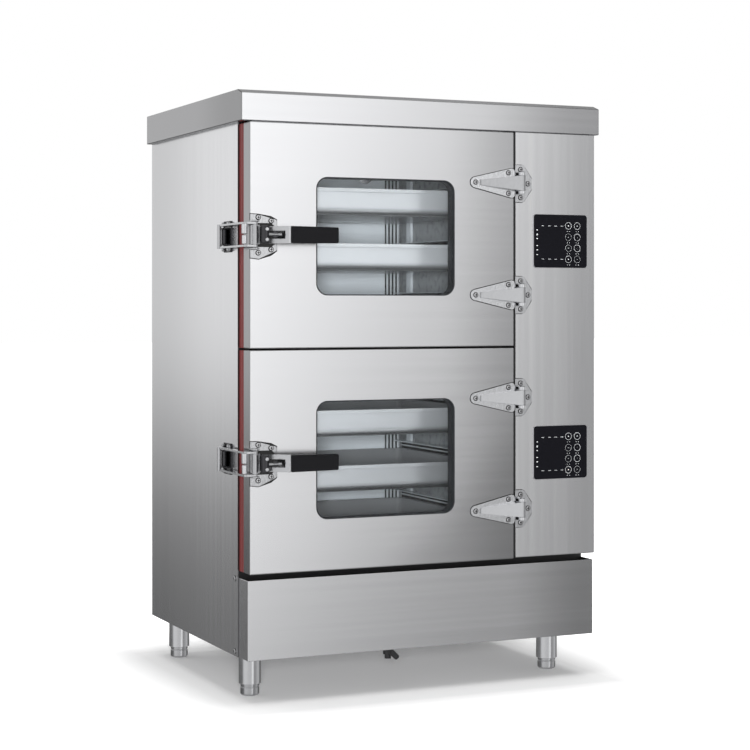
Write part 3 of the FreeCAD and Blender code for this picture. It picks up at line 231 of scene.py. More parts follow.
class CabinetColours(bpy.types.PropertyGroup):
    """Colours of the cabinet's finishes."""

    sheet_steel: bpy.props.FloatVectorProperty(
        name="Sheet steel", description="Brushed sheet of the casing and doors",
        subtype="COLOR", min=0, max=1, default=(0.8, 0.803, 0.819))
    chamber_steel: bpy.props.FloatVectorProperty(
        name="Chamber steel", description="Smooth sheet inside the chambers and doors",
        subtype="COLOR", min=0, max=1, default=(0.84, 0.87, 0.90))
    tray_steel: bpy.props.FloatVectorProperty(
        name="Tray steel", description="Bright pressed sheet of the trays",
        subtype="COLOR", min=0, max=1, default=(0.78, 0.79, 0.81))
    cast_metal: bpy.props.FloatVectorProperty(
        name="Cast metal", description="Polished castings of latches and hinges",
        subtype="COLOR", min=0, max=1, default=(0.59, 0.596, 0.612))
    silicone: bpy.props.FloatVectorProperty(
        name="Door seal", description="Red silicone of the door seals",
        subtype="COLOR", min=0, max=1, default=(0.145, 0.02, 0.02))
    grip: bpy.props.FloatVectorProperty(
        name="Grip", description="Black moulding of the latch grips",
        subtype="COLOR", min=0, max=1, default=(0.006, 0.006, 0.007))
    panel: bpy.props.FloatVectorProperty(
        name="Control panel", description="Glossy black front of the touch panels",
        subtype="COLOR", min=0, max=1, default=(0.006, 0.006, 0.008))
    key_marks: bpy.props.FloatVectorProperty(
        name="Key marks", description="Printed rings and dashes on the touch panels",
        subtype="COLOR", min=0, max=1, default=(0.75, 0.77, 0.78))


class StageSettings(bpy.types.PropertyGroup):
    """Camera, lamps and floor around the cabinet."""

    camera_place: bpy.props.FloatVectorProperty(
        name="Camera place", description="Where the camera stands",
        subtype="TRANSLATION", unit="LENGTH", default=(-1.4853, -3.3376, 0.7033))
    camera_turn: bpy.props.FloatProperty(
        name="Camera turn", description="How far the camera looks to the right of straight back",
        subtype="ANGLE", default=math.radians(24.227))
    camera_lens: bpy.props.FloatProperty(
        name="Lens", description="Focal length on a 36 mm frame", min=20, max=200, default=90.13)
    camera_shift: bpy.props.FloatProperty(
        name="Shift", description="How far the frame lies above the lens axis",
        min=-0.5, max=0.5, default=-0.0938)
    lamp_power: bpy.props.FloatProperty(
        name="Lamp power", description="Strength that the three soft lamps take their shares of",
        min=0, max=1000, subtype="POWER", default=160)
    floor_colour: bpy.props.FloatVectorProperty(
        name="Floor", description="Pale studio floor",
        subtype="COLOR", min=0, max=1, default=(0.95, 0.95, 0.95))


# Shader building

def add_node(tree, kind, values=None, **settings):
    """Add a shader node; its sockets take plain values or links from other sockets."""
    made = tree.nodes.new(kind)
    for name, value in settings.items():
        setattr(made, name, value)
    for name, value in (values or {}).items():
        if isinstance(value, bpy.types.NodeSocket):
            tree.links.new(value, made.inputs[name])
        else:
            made.inputs[name].default_value = value
    return made


def reckon(tree, operation, *terms, **settings):
    """Add a Math node for some sockets or plain values and give its result."""
    return add_node(tree, "ShaderNodeMath", dict(enumerate(terms)), operation=operation,
                    **settings).outputs[0]


def dimmed(tree, colour, share):
    """Scale a colour by a value."""
    return add_node(tree, "ShaderNodeVectorMath", {0: colour, "Scale": share},
                    operation="SCALE").outputs[0]


def make_group(name, inputs, outputs):
    """Make a shader node group with named sockets; inputs are name: (kind, default)."""
    group = bpy.data.node_groups.new(name, "ShaderNodeTree")
    for label, (kind, value) in inputs.items():
        socket = group.interface.new_socket(
            name=label, in_out="INPUT", socket_type=f"NodeSocket{kind}")
        if value is not None:
            socket.default_value = value
    for label, kind in outputs.items():
        group.interface.new_socket(name=label, in_out="OUTPUT", socket_type=f"NodeSocket{kind}")
    return group, group.nodes.new("NodeGroupInput"), group.nodes.new("NodeGroupOutput")


def tint_and_roughen(group, given, out, grain):
    """Let a grain around zero tint the given colour and spread the given roughness."""
    shade = reckon(group, "MULTIPLY_ADD", grain, given.outputs["Tint depth"], 1.0)
    group.links.new(dimmed(group, given.outputs["Colour"], shade), out.inputs["Colour"])
    rough = reckon(group, "MULTIPLY_ADD", grain, given.outputs["Roughness spread"],
                   given.outputs["Roughness"], use_clamp=True)
    group.links.new(rough, out.inputs["Roughness"])


GRAIN_OUTPUTS = {"Colour": "Color", "Roughness": "Float", "Height": "Float"}


def brushed_grain():
    """Fine lines along one way and faint broad bands, for brushed and polished steel."""
    group, given, out = make_group("Brushed grain", {
        "Place": ("Vector", None), "Colour": ("Color", (0.6, 0.6, 0.6, 1)),
        "Tint depth": ("Float", 0.05), "Roughness": ("Float", 0.3),
        "Roughness spread": ("Float", 0.05), "Line height": ("Float", 0.3),
    }, GRAIN_OUTPUTS)
    place = given.outputs["Place"]
    lines = add_node(group, "ShaderNodeTexNoise",
                     {"Vector": place, "Scale": 1.0, "Detail": 4.0, "Roughness": 0.6})
    bands = add_node(group, "ShaderNodeTexNoise", {"Vector": place, "Scale": 0.03, "Detail": 1.0})
    both = reckon(group, "ADD", lines.outputs["Fac"], bands.outputs["Fac"])
    tint_and_roughen(group, given, out, reckon(group, "SUBTRACT", both, 1.0))
    raised = reckon(group, "MULTIPLY", lines.outputs["Fac"], given.outputs["Line height"])
    group.links.new(raised, out.inputs["Height"])


def fine_speckle():
    """Even fine speckle, for mouldings, castings, rubber and wool."""
    group, given, out = make_group("Fine speckle", {
        "Place": ("Vector", None), "Colour": ("Color", (0.5, 0.5, 0.5, 1)),
        "Grain scale": ("Float", 900.0), "Tint depth": ("Float", 0.15),
        "Roughness": ("Float", 0.5), "Roughness spread": ("Float", 0.1),
    }, GRAIN_OUTPUTS)
    grain = add_node(group, "ShaderNodeTexNoise", {
        "Vector": given.outputs["Place"], "Scale": given.outputs["Grain scale"],
        "Detail": 5.0, "Roughness": 0.65}).outputs["Fac"]
    tint_and_roughen(group, given, out, reckon(group, "SUBTRACT", grain, 0.5))
    group.links.new(grain, out.inputs["Height"])


def finish_material(name, group_name, colour, stretch, bump, group_values, shader_values,
                    painted_shading=()):
    """Make a material: object coordinates, stretched, through a group into the shader.

    Each fade (way, start, stop, share) is painted shade, or with a share above 1 a painted
    highlight: it lets the colour fall to a share of itself along a way, and a fifth pair of
    values repeats the stretch between them.
    """
    material = bpy.data.materials.new(name)
    material.use_nodes = True
    tree = material.node_tree
    shader = tree.nodes["Principled BSDF"]
    for label, value in shader_values.items():
        shader.inputs[label].default_value = value
    place = add_node(tree, "ShaderNodeTexCoord").outputs["Object"]
    mapping = add_node(tree, "ShaderNodeMapping", {"Vector": place, "Scale": stretch})
    effect = add_node(tree, "ShaderNodeGroup", node_tree=bpy.data.node_groups[group_name])
    tree.links.new(mapping.outputs["Vector"], effect.inputs["Place"])
    effect.inputs["Colour"].default_value = (*colour, 1)
    for label, value in group_values.items():
        effect.inputs[label].default_value = value
    shown = effect.outputs["Colour"]
    # Painted light and shade: each fade darkens the colour, or with a share above 1 lightens it,
    # along a way.
    for way, start, stop, share, *repeat in painted_shading:
        height = add_node(tree, "ShaderNodeVectorMath", {0: place, 1: way},
                          operation="DOT_PRODUCT").outputs["Value"]
        if repeat:
            low, high = repeat[0]
            height = reckon(tree, "WRAP", height, high, low)
        fall = add_node(tree, "ShaderNodeMapRange", {
            "Value": height, "From Min": start, "From Max": stop, "To Min": 1.0, "To Max": share},
            interpolation_type="SMOOTHSTEP")
        shown = dimmed(tree, shown, fall.outputs["Result"])
    tree.links.new(shown, shader.inputs["Base Color"])
    tree.links.new(effect.outputs["Roughness"], shader.inputs["Roughness"])
    if bump:
        relief = add_node(tree, "ShaderNodeBump", {
            "Strength": bump, "Distance": 0.2 * MM, "Height": effect.outputs["Height"]})
        tree.links.new(relief.outputs["Normal"], shader.inputs["Normal"])
    return material


ACROSS = (14, 2600, 2600)
UPRIGHT = (2600, 2600, 14)
EVEN = (1, 1, 1)


def tone(colour, share):
    """Give a lighter or darker version of a colour."""
    return tuple(channel * share for channel in colour)


def steel(name, colour, roughness, stretch=ACROSS, bump=0.12, tint=0.05, spread=0.06, painted_shading=(),
          metallic=1.0):
    """Make a brushed or polished steel."""
    return finish_material(
        name, "Brushed grain", colour, stretch, bump,
        {"Tint depth": tint, "Roughness": roughness, "Roughness spread": spread},
        {"Metallic": metallic}, painted_shading)


def moulding(name, colour, roughness, grain=900.0, bump=0.2, tint=0.15, spread=0.1, metallic=0.0,
             specular=0.5, painted_shading=()):
    """Make a moulded, cast or coated finish."""
    return finish_material(
        name, "Fine speckle", colour, EVEN, bump,
        {"Grain scale": grain, "Tint depth": tint, "Roughness": roughness,
         "Roughness spread": spread},
        {"Metallic": metallic, "Specular IOR Level": specular}, painted_shading)


def near_face(node, way, start, stop, share):
    """Give a fade of painted shading from start to stop, both in mm inside a CAD node's face that
    looks along a way.

    A negative distance lies before the face.
    """
    level = max(Vector(way).dot(corner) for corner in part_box(node))
    return way, level - start * MM, level - stop * MM, share


def glass_material():
    """Make clear toughened glass that lets lamp light through to the chamber."""
    material = bpy.data.materials.new("Toughened glass")
    material.use_nodes = True
    tree = material.node_tree
    shader = tree.nodes["Principled BSDF"]
    for label, value in {"Base Color": (0.975, 0.985, 0.99, 1), "Roughness": 0.03,
                         "Transmission Weight": 1.0, "IOR": 1.22}.items():
        shader.inputs[label].default_value = value
    clear = add_node(tree, "ShaderNodeBsdfTransparent", {"Color": (0.97, 0.98, 0.985, 1)})
    path = add_node(tree, "ShaderNodeLightPath")
    either = add_node(tree, "ShaderNodeMixShader", {
        "Fac": path.outputs["Is Shadow Ray"], 1: shader.outputs["BSDF"],
        2: clear.outputs["BSDF"]})
    tree.links.new(either.outputs["Shader"], tree.nodes["Material Output"].inputs["Surface"])
    return material


SLOT_FINISH = {
    "brushed_steel": "Sheet steel across", "liner_steel": "Chamber steel",
    "rack_steel": "Rack steel", "tray_steel": "Tray steel", "glass": "Toughened glass",
    "seal_rubber": "Red silicone", "wool": "Mineral wool", "bright_metal": "Cast metal",
    "grip_black": "Grip black", "panel_black": "Panel black", "board_green": "Circuit board",
    "electric_grey": "Switchgear grey", "boiler_steel": "Boiler steel",
    "heater_steel": "Heater steel", "pipe_steel": "Pipe steel", "brass": "Turned brass",
    "gland_black": "Gland black", "drain_black": "Drain black", "foot_steel": "Foot steel",
    "insert_steel": "Insert steel", "float_white": "Float white",
}
NODE_FINISH = {
    "left_side_panel": "Side steel", "right_side_panel": "Side steel",
    "rear_panel": "Sheet steel upright", "front_frame": "Frame steel",
    "upper_door_inner_panel": "Inner steel", "lower_door_inner_panel": "Inner steel",
}


class CABINET_OT_finishes(bpy.types.Operator):
    """Make every finish and give each CAD node its own"""

    bl_idname = "cabinet.finishes"
    bl_label = "Finishes"

    def execute(self, context):
        colours = context.scene.cabinet_colours
        brushed_grain()
        fine_speckle()
        left, right, forward = (-1, 0, 0), (1, 0, 0), (0, -1, 0)
        # Painted shade: these fades darken the doors towards the lower right and towards the
        # hinges.
        downhill = ((0.8, 0, -0.6), -0.4, 0.1, 0.74)
        to_hinges = (right, 0.02, 0.19, 0.74)
        low_right = ((1, 0, -1), -0.36, -0.2, 0.8)
        tray_bottom, next_bottom = (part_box(f"upper_tray_{number}")[0].z for number in (1, 2))
        each_tray = (tray_bottom - 20 * MM, next_bottom - 20 * MM)
        # Painted shade: the sheet steel darkens towards the right.
        steel("Sheet steel across", colours.sheet_steel, 0.22,
              painted_shading=[(right, 0.16, 0.34, 0.62)])
        # Painted light and shade: a lighter copy of the sheet steel, darkened by the fades above,
        # darker along its left edge and near black along its right edge, a painted shadow of the
        # gap.
        steel("Door steel", tone(colours.sheet_steel, 1.1), 0.22,
              painted_shading=[downhill, to_hinges, low_right,
                     near_face("upper_door_shell", left, 1.4, 0.2, 0.45),
                     near_face("upper_door_shell", right, 1.4, 0.6, 0.15)])
        steel("Sheet steel upright", colours.sheet_steel, 0.24, UPRIGHT, tint=0.09)
        # Painted light and shade: a lighter copy of the sheet steel, darker towards the rear and
        # along its front edge.
        steel("Side steel", tone(colours.sheet_steel, 1.08), 0.24, UPRIGHT, tint=0.08,
              painted_shading=[((0, 1, 0), -0.12, 0.27, 0.78),
                     near_face("left_side_panel", forward, 1.0, 0.2, 0.4)])
        # Painted shade: the front frame is the sheet steel darkened to a tenth.
        steel("Frame steel", tone(colours.sheet_steel, 0.1), 0.5)
        # Painted light and shade: the cap is a lighter copy of the sheet steel, with its left side
        # darkened, darker towards the right and towards the front by its left end.
        cap_left = -100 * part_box("top_cap")[0].x
        steel("Cap steel", tone(colours.sheet_steel, 1.08), 0.22,
              painted_shading=[near_face("top_cap", left, 2.2, 0.8, 0.46), (right, 0.1, 0.32, 0.7),
                     ((-100, -1, 0), cap_left, cap_left + 0.2, 0.79)])
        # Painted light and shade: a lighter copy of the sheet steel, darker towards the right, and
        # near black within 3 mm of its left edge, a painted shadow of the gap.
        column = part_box("column_cover")
        steel("Column steel", tone(colours.sheet_steel, 1.22), 0.22, UPRIGHT, tint=0.08,
              painted_shading=[(right, column[0].x + 20 * MM, column[1].x, 0.78),
                     near_face("column_cover", left, 3.6, 3.0, 0.06)])
        # Painted shade: the chamber's right wall is darkened.
        steel("Chamber steel", colours.chamber_steel, 0.28, bump=0.08, metallic=0.06,
              painted_shading=[(right, 0.12, 0.163, 0.35)])
        # Painted shade: the inner panels are a darker copy of the chamber steel.
        steel("Inner steel", tone(colours.chamber_steel, 0.62), 0.3, bump=0.08, metallic=0.4)
        # Painted light: the racks are a lighter copy of the chamber steel.
        steel("Rack steel", tone(colours.chamber_steel, 1.1), 0.24, UPRIGHT, bump=0.05,
              metallic=0.3)
        # Painted light and shade: the trays darken towards the lower right, each darkens along its
        # bottom bend, and a thin painted highlight runs along its very bottom.
        steel("Tray steel", colours.tray_steel, 0.24, bump=0.05, metallic=0.55,
              painted_shading=[((0.6, 0, -1), -0.65, -0.3, 0.52),
                     ((0, 0, 1), tray_bottom + 17 * MM, tray_bottom + 3 * MM, 0.25, each_tray),
                     ((0, 0, 1), tray_bottom + 2.5 * MM, tray_bottom + 0.9 * MM, 3.0,
                      each_tray)])
        for name, colour, roughness, stretch in (
                ("Boiler steel", (0.42, 0.43, 0.45), 0.38, ACROSS),
                ("Heater steel", (0.16, 0.155, 0.16), 0.4, UPRIGHT),
                ("Pipe steel", (0.5, 0.51, 0.53), 0.25, UPRIGHT),
                ("Turned brass", (0.55, 0.36, 0.12), 0.28, UPRIGHT)):
            steel(name, colour, roughness, stretch)
        steel("Foot steel", (0.72, 0.725, 0.745), 0.22, (2600, 2600, 2600), bump=0.05)
        steel("Insert steel", (0.56, 0.565, 0.58), 0.2, (40, 40, 5200), bump=0.2)
        moulding("Cast metal", colours.cast_metal, 0.16, grain=170, bump=1.0, metallic=1.0)
        # Painted light: the hinge leaves and link shoes take a lighter copy of the cast metal.
        moulding("Leaf metal", tone(colours.cast_metal, 1.35), 0.2, grain=170, bump=0.8,
                 metallic=1.0)
        # Painted light and shade: a lighter copy of the cast metal, darkened where a strap stands
        # more than 3 mm proud of the door and lighter again on top beyond 5 mm.
        moulding("Strap metal", tone(colours.cast_metal, 1.6), 0.2, grain=170, bump=0.8,
                 metallic=1.0, painted_shading=[near_face("upper_door_shell", forward, -3.1, -3.4, 0.3),
                                      near_face("upper_door_shell", forward, -4.8, -5.4, 1.75)])
        # Painted shade: a near black chrome for the latch's cam and nut and for the keepers.
        moulding("Dark chrome", (0.075, 0.075, 0.08), 0.14, grain=170, bump=1.0, metallic=1.0)
        # Painted shade: near black, for plates, strips and rings laid where shadow falls.
        moulding("Recess dark", (0.02, 0.02, 0.02), 0.6, specular=0.2)
        moulding("Gasket grey", (0.03, 0.032, 0.035), 0.55, specular=0.2)
        steel("Panel frame", (0.62, 0.62, 0.64), 0.3, bump=0.03)
        moulding("Screw steel", (0.76, 0.76, 0.78), 0.18, grain=300, bump=0.05, metallic=1.0)
        moulding("Red silicone", colours.silicone, 0.45, grain=700, bump=0.15)
        moulding("Mineral wool", (0.6, 0.55, 0.36), 0.95, grain=350, bump=1.0, tint=0.5)
        moulding("Grip black", colours.grip, 0.42, grain=1400, bump=0.35,
                 specular=0.14)
        moulding("Panel black", colours.panel, 0.12, grain=300, bump=0.02, spread=0.04,
                 specular=0.08)
        moulding("Circuit board", (0.01, 0.09, 0.03), 0.35, grain=200)
        for name, colour, roughness in (
                ("Switchgear grey", (0.05, 0.055, 0.06), 0.5),
                ("Gland black", (0.012, 0.012, 0.013), 0.45),
                ("Drain black", (0.012, 0.012, 0.013), 0.3),
                ("Float white", (0.6, 0.6, 0.57), 0.3)):
            moulding(name, colour, roughness)
        moulding("Key marks", colours.key_marks, 0.6, grain=400, bump=0.05)
        glass_material()
        for entry in frame["record"]["subparts"]:
            finish = SLOT_FINISH[entry["material_slot"]]
            finish = NODE_FINISH.get(entry["node"], finish)
            node = frame["nodes"][entry["node"]]
            node.data.materials.clear()
            node.data.materials.append(bpy.data.materials[finish])
        return {"FINISHED"}


class CabinetSizes(bpy.types.PropertyGroup):
    """Sizes of the dressed pieces."""

    sheet: bpy.props.FloatProperty(
        name="Sheet", description="Thickness of the casing's sheet",
        unit="LENGTH", min=0.0005, max=0.003, default=1.2 * MM)
    bend: bpy.props.FloatProperty(
        name="Bend", description="Outer radius of the sheet's bends",
        unit="LENGTH", min=0.0002, max=0.005, default=1.8 * MM)
    pane_lap: bpy.props.FloatProperty(
        name="Pane lap", description="How far a pane reaches past its window",
        unit="LENGTH", min=0.002, max=0.03, default=12 * MM)
    pane: bpy.props.FloatProperty(
        name="Pane", description="Thickness of one pane of glass",
        unit="LENGTH", min=0.002, max=0.008, default=4 * MM)
    window_corner: bpy.props.FloatProperty(
        name="Window corner", description="Radius of a window's corners",
        unit="LENGTH", min=0.001, max=0.05, default=22 * MM)
    gasket_width: bpy.props.FloatProperty(
        name="Gasket width", description="Width of the gasket round a pane",
        unit="LENGTH", min=0.0005, max=0.01, default=2.2 * MM)
    seal_width: bpy.props.FloatProperty(
        name="Seal width", description="Width of the silicone round a chamber's mouth",
        unit="LENGTH", min=0.005, max=0.03, default=15 * MM)
    nose_height: bpy.props.FloatProperty(
        name="Nose height", description="Drop of the cap's sloped front edge",
        unit="LENGTH", min=0.0, max=0.03, default=7 * MM)
    nose_depth: bpy.props.FloatProperty(
        name="Nose depth", description="Depth of the cap's sloped front edge",
        unit="LENGTH", min=0.001, max=0.06, default=20 * MM)
    gutter_depth: bpy.props.FloatProperty(
        name="Gutter depth", description="Depth of the gutter in the drip trough",
        unit="LENGTH", min=0.005, max=0.08, default=30 * MM)
    tray_lip: bpy.props.FloatProperty(
        name="Tray lip", description="Width of a tray's rim",
        unit="LENGTH", min=0.002, max=0.02, default=8 * MM)
    tray_corner: bpy.props.FloatProperty(
        name="Tray corner", description="Radius of a tray's corners",
        unit="LENGTH", min=0.002, max=0.04, default=12 * MM)
    panel_height: bpy.props.FloatProperty(
        name="Panel height", description="Height of a touch panel",
        unit="LENGTH", min=0.05, max=0.2, default=100 * MM)
    panel_corner: bpy.props.FloatProperty(
        name="Panel corner", description="Radius of a touch panel's corners",
        unit="LENGTH", min=0.001, max=0.02, default=6 * MM)
    key_ring: bpy.props.FloatProperty(
        name="Key ring", description="Radius of the ring printed round a touch key",
        unit="LENGTH", min=0.002, max=0.01, default=6.5 * MM)
    screw_radius: bpy.props.FloatProperty(
        name="Screw head", description="Radius of a screw head",
        unit="LENGTH", min=0.001, max=0.01, default=4.1 * MM)
    screw_height: bpy.props.FloatProperty(
        name="Screw height", description="Height of a screw head",
        unit="LENGTH", min=0.0005, max=0.005, default=2.1 * MM)


def folded_front(name, low, high, sheet, bend):
    """Fold a front: a flat face, bends round its four sides and an open back."""
    front = add_block(name, low, high)
    pick(front, lambda edge: near(middle(edge).y, low.y) or runs(edge, 1), "EDGE")
    bpy.ops.mesh.bevel(offset=bend, segments=4, affect="EDGES")
    room = add_block("room", (low.x + sheet, low.y + sheet, low.z + sheet),
                     (high.x - sheet, high.y + sheet, high.z - sheet))
    take_away(front, room)
    return front


def rounded_slab(name, low, high, corner, segments=10):
    """Make a slab that faces forward, with its four corners rounded."""
    slab = add_block(name, low, high)
    pick(slab, lambda edge: runs(edge, 1), "EDGE")
    bpy.ops.mesh.bevel(offset=corner, segments=segments, affect="EDGES")
    return slab


def rounded_frame(name, low, high, corner, width):
    """Make a frame that faces forward, with rounded corners inside and out."""
    outer = rounded_slab(name, low, high, corner)
    inward = Vector((width, -0.01, width))
    inner = rounded_slab("inner", low + inward, high - inward, corner - width)
    take_away(outer, inner)
    return outer


class CABINET_OT_doors(bpy.types.Operator):
    """Fold both door skins, open their windows and lay a gasket round each pane"""

    bl_idname = "cabinet.doors"
    bl_label = "Doors"

    def execute(self, context):
        sizes = context.scene.cabinet_sizes
        for word in LEVELS:
            low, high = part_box(f"{word}_door_shell")
            pane_low, pane_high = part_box(f"{word}_door_glass")
            lap = Vector((sizes.pane_lap, 0, sizes.pane_lap))
            opening = (pane_low + lap, pane_high - lap)
            skin = folded_front(f"{word}_door_skin", low, high, sizes.sheet, sizes.bend)
            window = rounded_slab(
                "window", (opening[0].x, low.y - 0.01, opening[0].z),
                (opening[1].x, low.y + 3 * sizes.sheet, opening[1].z), sizes.window_corner, 14)
            take_away(skin, window)
            soften(skin, 0)
            fit(skin, f"{word}_door", "brushed_steel", "Door steel", f"{word}_door_shell")
            for name, front, back, edge in (
                    ("window_gasket", low.y - 0.6 * MM, low.y + sizes.sheet, 0.5 * MM),
                    ("pane_spacer", pane_low.y + sizes.pane, pane_high.y - sizes.pane, 0)):
                ring = rounded_frame(
                    f"{word}_{name}", Vector((opening[0].x, front, opening[0].z)),
                    Vector((opening[1].x, back, opening[1].z)),
                    sizes.window_corner, sizes.gasket_width)
                soften(ring, edge)
                fit(ring, f"{word}_door", "seal_rubber", "Gasket grey")
        return {"FINISHED"}


class CABINET_OT_seals(bpy.types.Operator):
    """Mould the red silicone seal behind each door, with its two grooves"""

    bl_idname = "cabinet.seals"
    bl_label = "Door seals"

    def execute(self, context):
        sizes = context.scene.cabinet_sizes
        for word in LEVELS:
            low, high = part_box(f"{word}_door_seal")
            seal = add_block(f"{word}_silicone_seal", low, high)
            depth = high.y - low.y
            cuts = [low.y + depth * share for share in (0.34, 0.42, 0.74, 0.8)]
            for cut in cuts:
                split(seal, 1, cut)
            pick(seal, lambda face: abs(face.normal.y) < 0.5 and (
                cuts[0] < face.calc_center_median().y < cuts[1]
                or cuts[2] < face.calc_center_median().y < cuts[3]))
            bpy.ops.mesh.extrude_region_shrink_fatten(
                TRANSFORM_OT_shrink_fatten={"value": -1.6 * MM, "use_even_offset": True})
            width = sizes.seal_width
            mouth = add_block("mouth", (low.x + width, low.y - 0.01, low.z + width),
                              (high.x - width, high.y + 0.01, high.z - width))
            take_away(seal, mouth)
            soften(seal, 1.1 * MM, segments=3)
            fit(seal, f"{word}_door", "seal_rubber", "Red silicone", f"{word}_door_seal")
        return {"FINISHED"}


class CABINET_OT_casing(bpy.types.Operator):
    """Fold the top cap with its sloped nose, the column cover and the drip trough"""

    bl_idname = "cabinet.casing"
    bl_label = "Cap, column and trough"

    def cap(self, sizes):
        """Fold the cap: skirt, sloped nose, crown and the rim turned in below."""
        low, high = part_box("top_cap")
        cap = add_block("cap_skin", low, high)
        split(cap, 1, low.y + sizes.nose_depth)
        pick(cap, lambda spot: near(spot.co.y, low.y) and near(spot.co.z, high.z), "VERT")
        bpy.ops.transform.translate(value=(0, 0, -sizes.nose_height))
        pick(cap, facing((0, 0, -1)))
        bpy.ops.mesh.inset(thickness=26 * MM)
        pick(cap, lambda face: face.normal.z < -0.99
             and low.x + 0.02 < face.calc_center_median().x < high.x - 0.02
             and low.y + 0.0261 < min(spot.co.y for spot in face.verts))
        bpy.ops.mesh.delete(type="FACE")
        soften(cap, sizes.bend, segments=4, angle=15)
        use_modifier(cap, "SOLIDIFY", thickness=sizes.sheet, offset=-1, use_even_offset=True)
        soften(cap, 0)
        fit(cap, "cabinet", "brushed_steel", "Cap steel", "top_cap")

    def trough(self, sizes):
        """Fold the trough: a gutter above and a hollow box below, open to the rear."""
        low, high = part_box("drip_trough")
        sheet = sizes.sheet
        trough = add_block("trough_skin", low, high)
        pick(trough, lambda edge: near(middle(edge).y, low.y) or runs(edge, 1), "EDGE")
        bpy.ops.mesh.bevel(offset=sizes.bend / 2, segments=3, affect="EDGES")
        floor = high.z - sizes.gutter_depth
        for bottom, top in ((floor, high.z + 0.01), (low.z + sheet, floor - sheet)):
            room = add_block("room", (low.x + sheet, low.y + sheet, bottom),
                             (high.x - sheet, high.y + sheet, top))
            take_away(trough, room)
        soften(trough, 0)
        fit(trough, "cabinet", "brushed_steel", "Sheet steel across", "drip_trough")

    def execute(self, context):
        sizes = context.scene.cabinet_sizes
        self.cap(sizes)
        self.trough(sizes)
        column = folded_front("column_skin", *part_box("column_cover"), sizes.sheet, sizes.bend)
        soften(column, 0)
        fit(column, "cabinet", "brushed_steel", "Column steel", "column_cover")
        return {"FINISHED"}


class CABINET_OT_trays(bpy.types.Operator):
    """Press one tray with its rounded rim and set a copy on every pair of rails"""

    bl_idname = "cabinet.trays"
    bl_label = "Trays"

    def execute(self, context):
        sizes = context.scene.cabinet_sizes
        low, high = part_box("upper_tray_1")
        lip, centre = sizes.tray_lip, (low + high) / 2
        first = add_block("upper_pressed_tray_1", (low.x + lip, low.y + lip, low.z),
                          (high.x - lip, high.y - lip, high.z))
        pick(first, lambda edge: runs(edge, 2), "EDGE")
        bpy.ops.mesh.bevel(offset=sizes.tray_corner, segments=8, affect="EDGES")
        pick(first, lambda edge: near(edge.verts[0].co.z, low.z)
             and near(edge.verts[1].co.z, low.z), "EDGE")
        bpy.ops.mesh.bevel(offset=13 * MM, segments=8, affect="EDGES")
        pick(first, facing((0, 0, 1)))
        bpy.ops.mesh.delete(type="ONLY_FACE")
        pick(first, lambda edge: edge.is_boundary, "EDGE")
        extrude()
        bpy.ops.transform.resize(
            value=((high.x - low.x) / (high.x - low.x - 2 * lip),
                   (high.y - low.y) / (high.y - low.y - 2 * lip), 1), center_override=centre)
        extrude(z=-6 * MM)
        use_modifier(first, "SOLIDIFY", thickness=0.8 * MM, offset=-1, use_even_offset=True)
        soften(first, 1.2 * MM, segments=3, angle=40)
        for word in LEVELS:
            for number in (1, 2, 3):
                node = f"{word}_tray_{number}"
                shift = (0, 0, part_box(node)[0].z - low.z)
                tray = first if node == "upper_tray_1" else copy_to(
                    first, f"{word}_pressed_tray_{number}", shift)
                fit(tray, node, "tray_steel", "Tray steel", node)
        return {"FINISHED"}


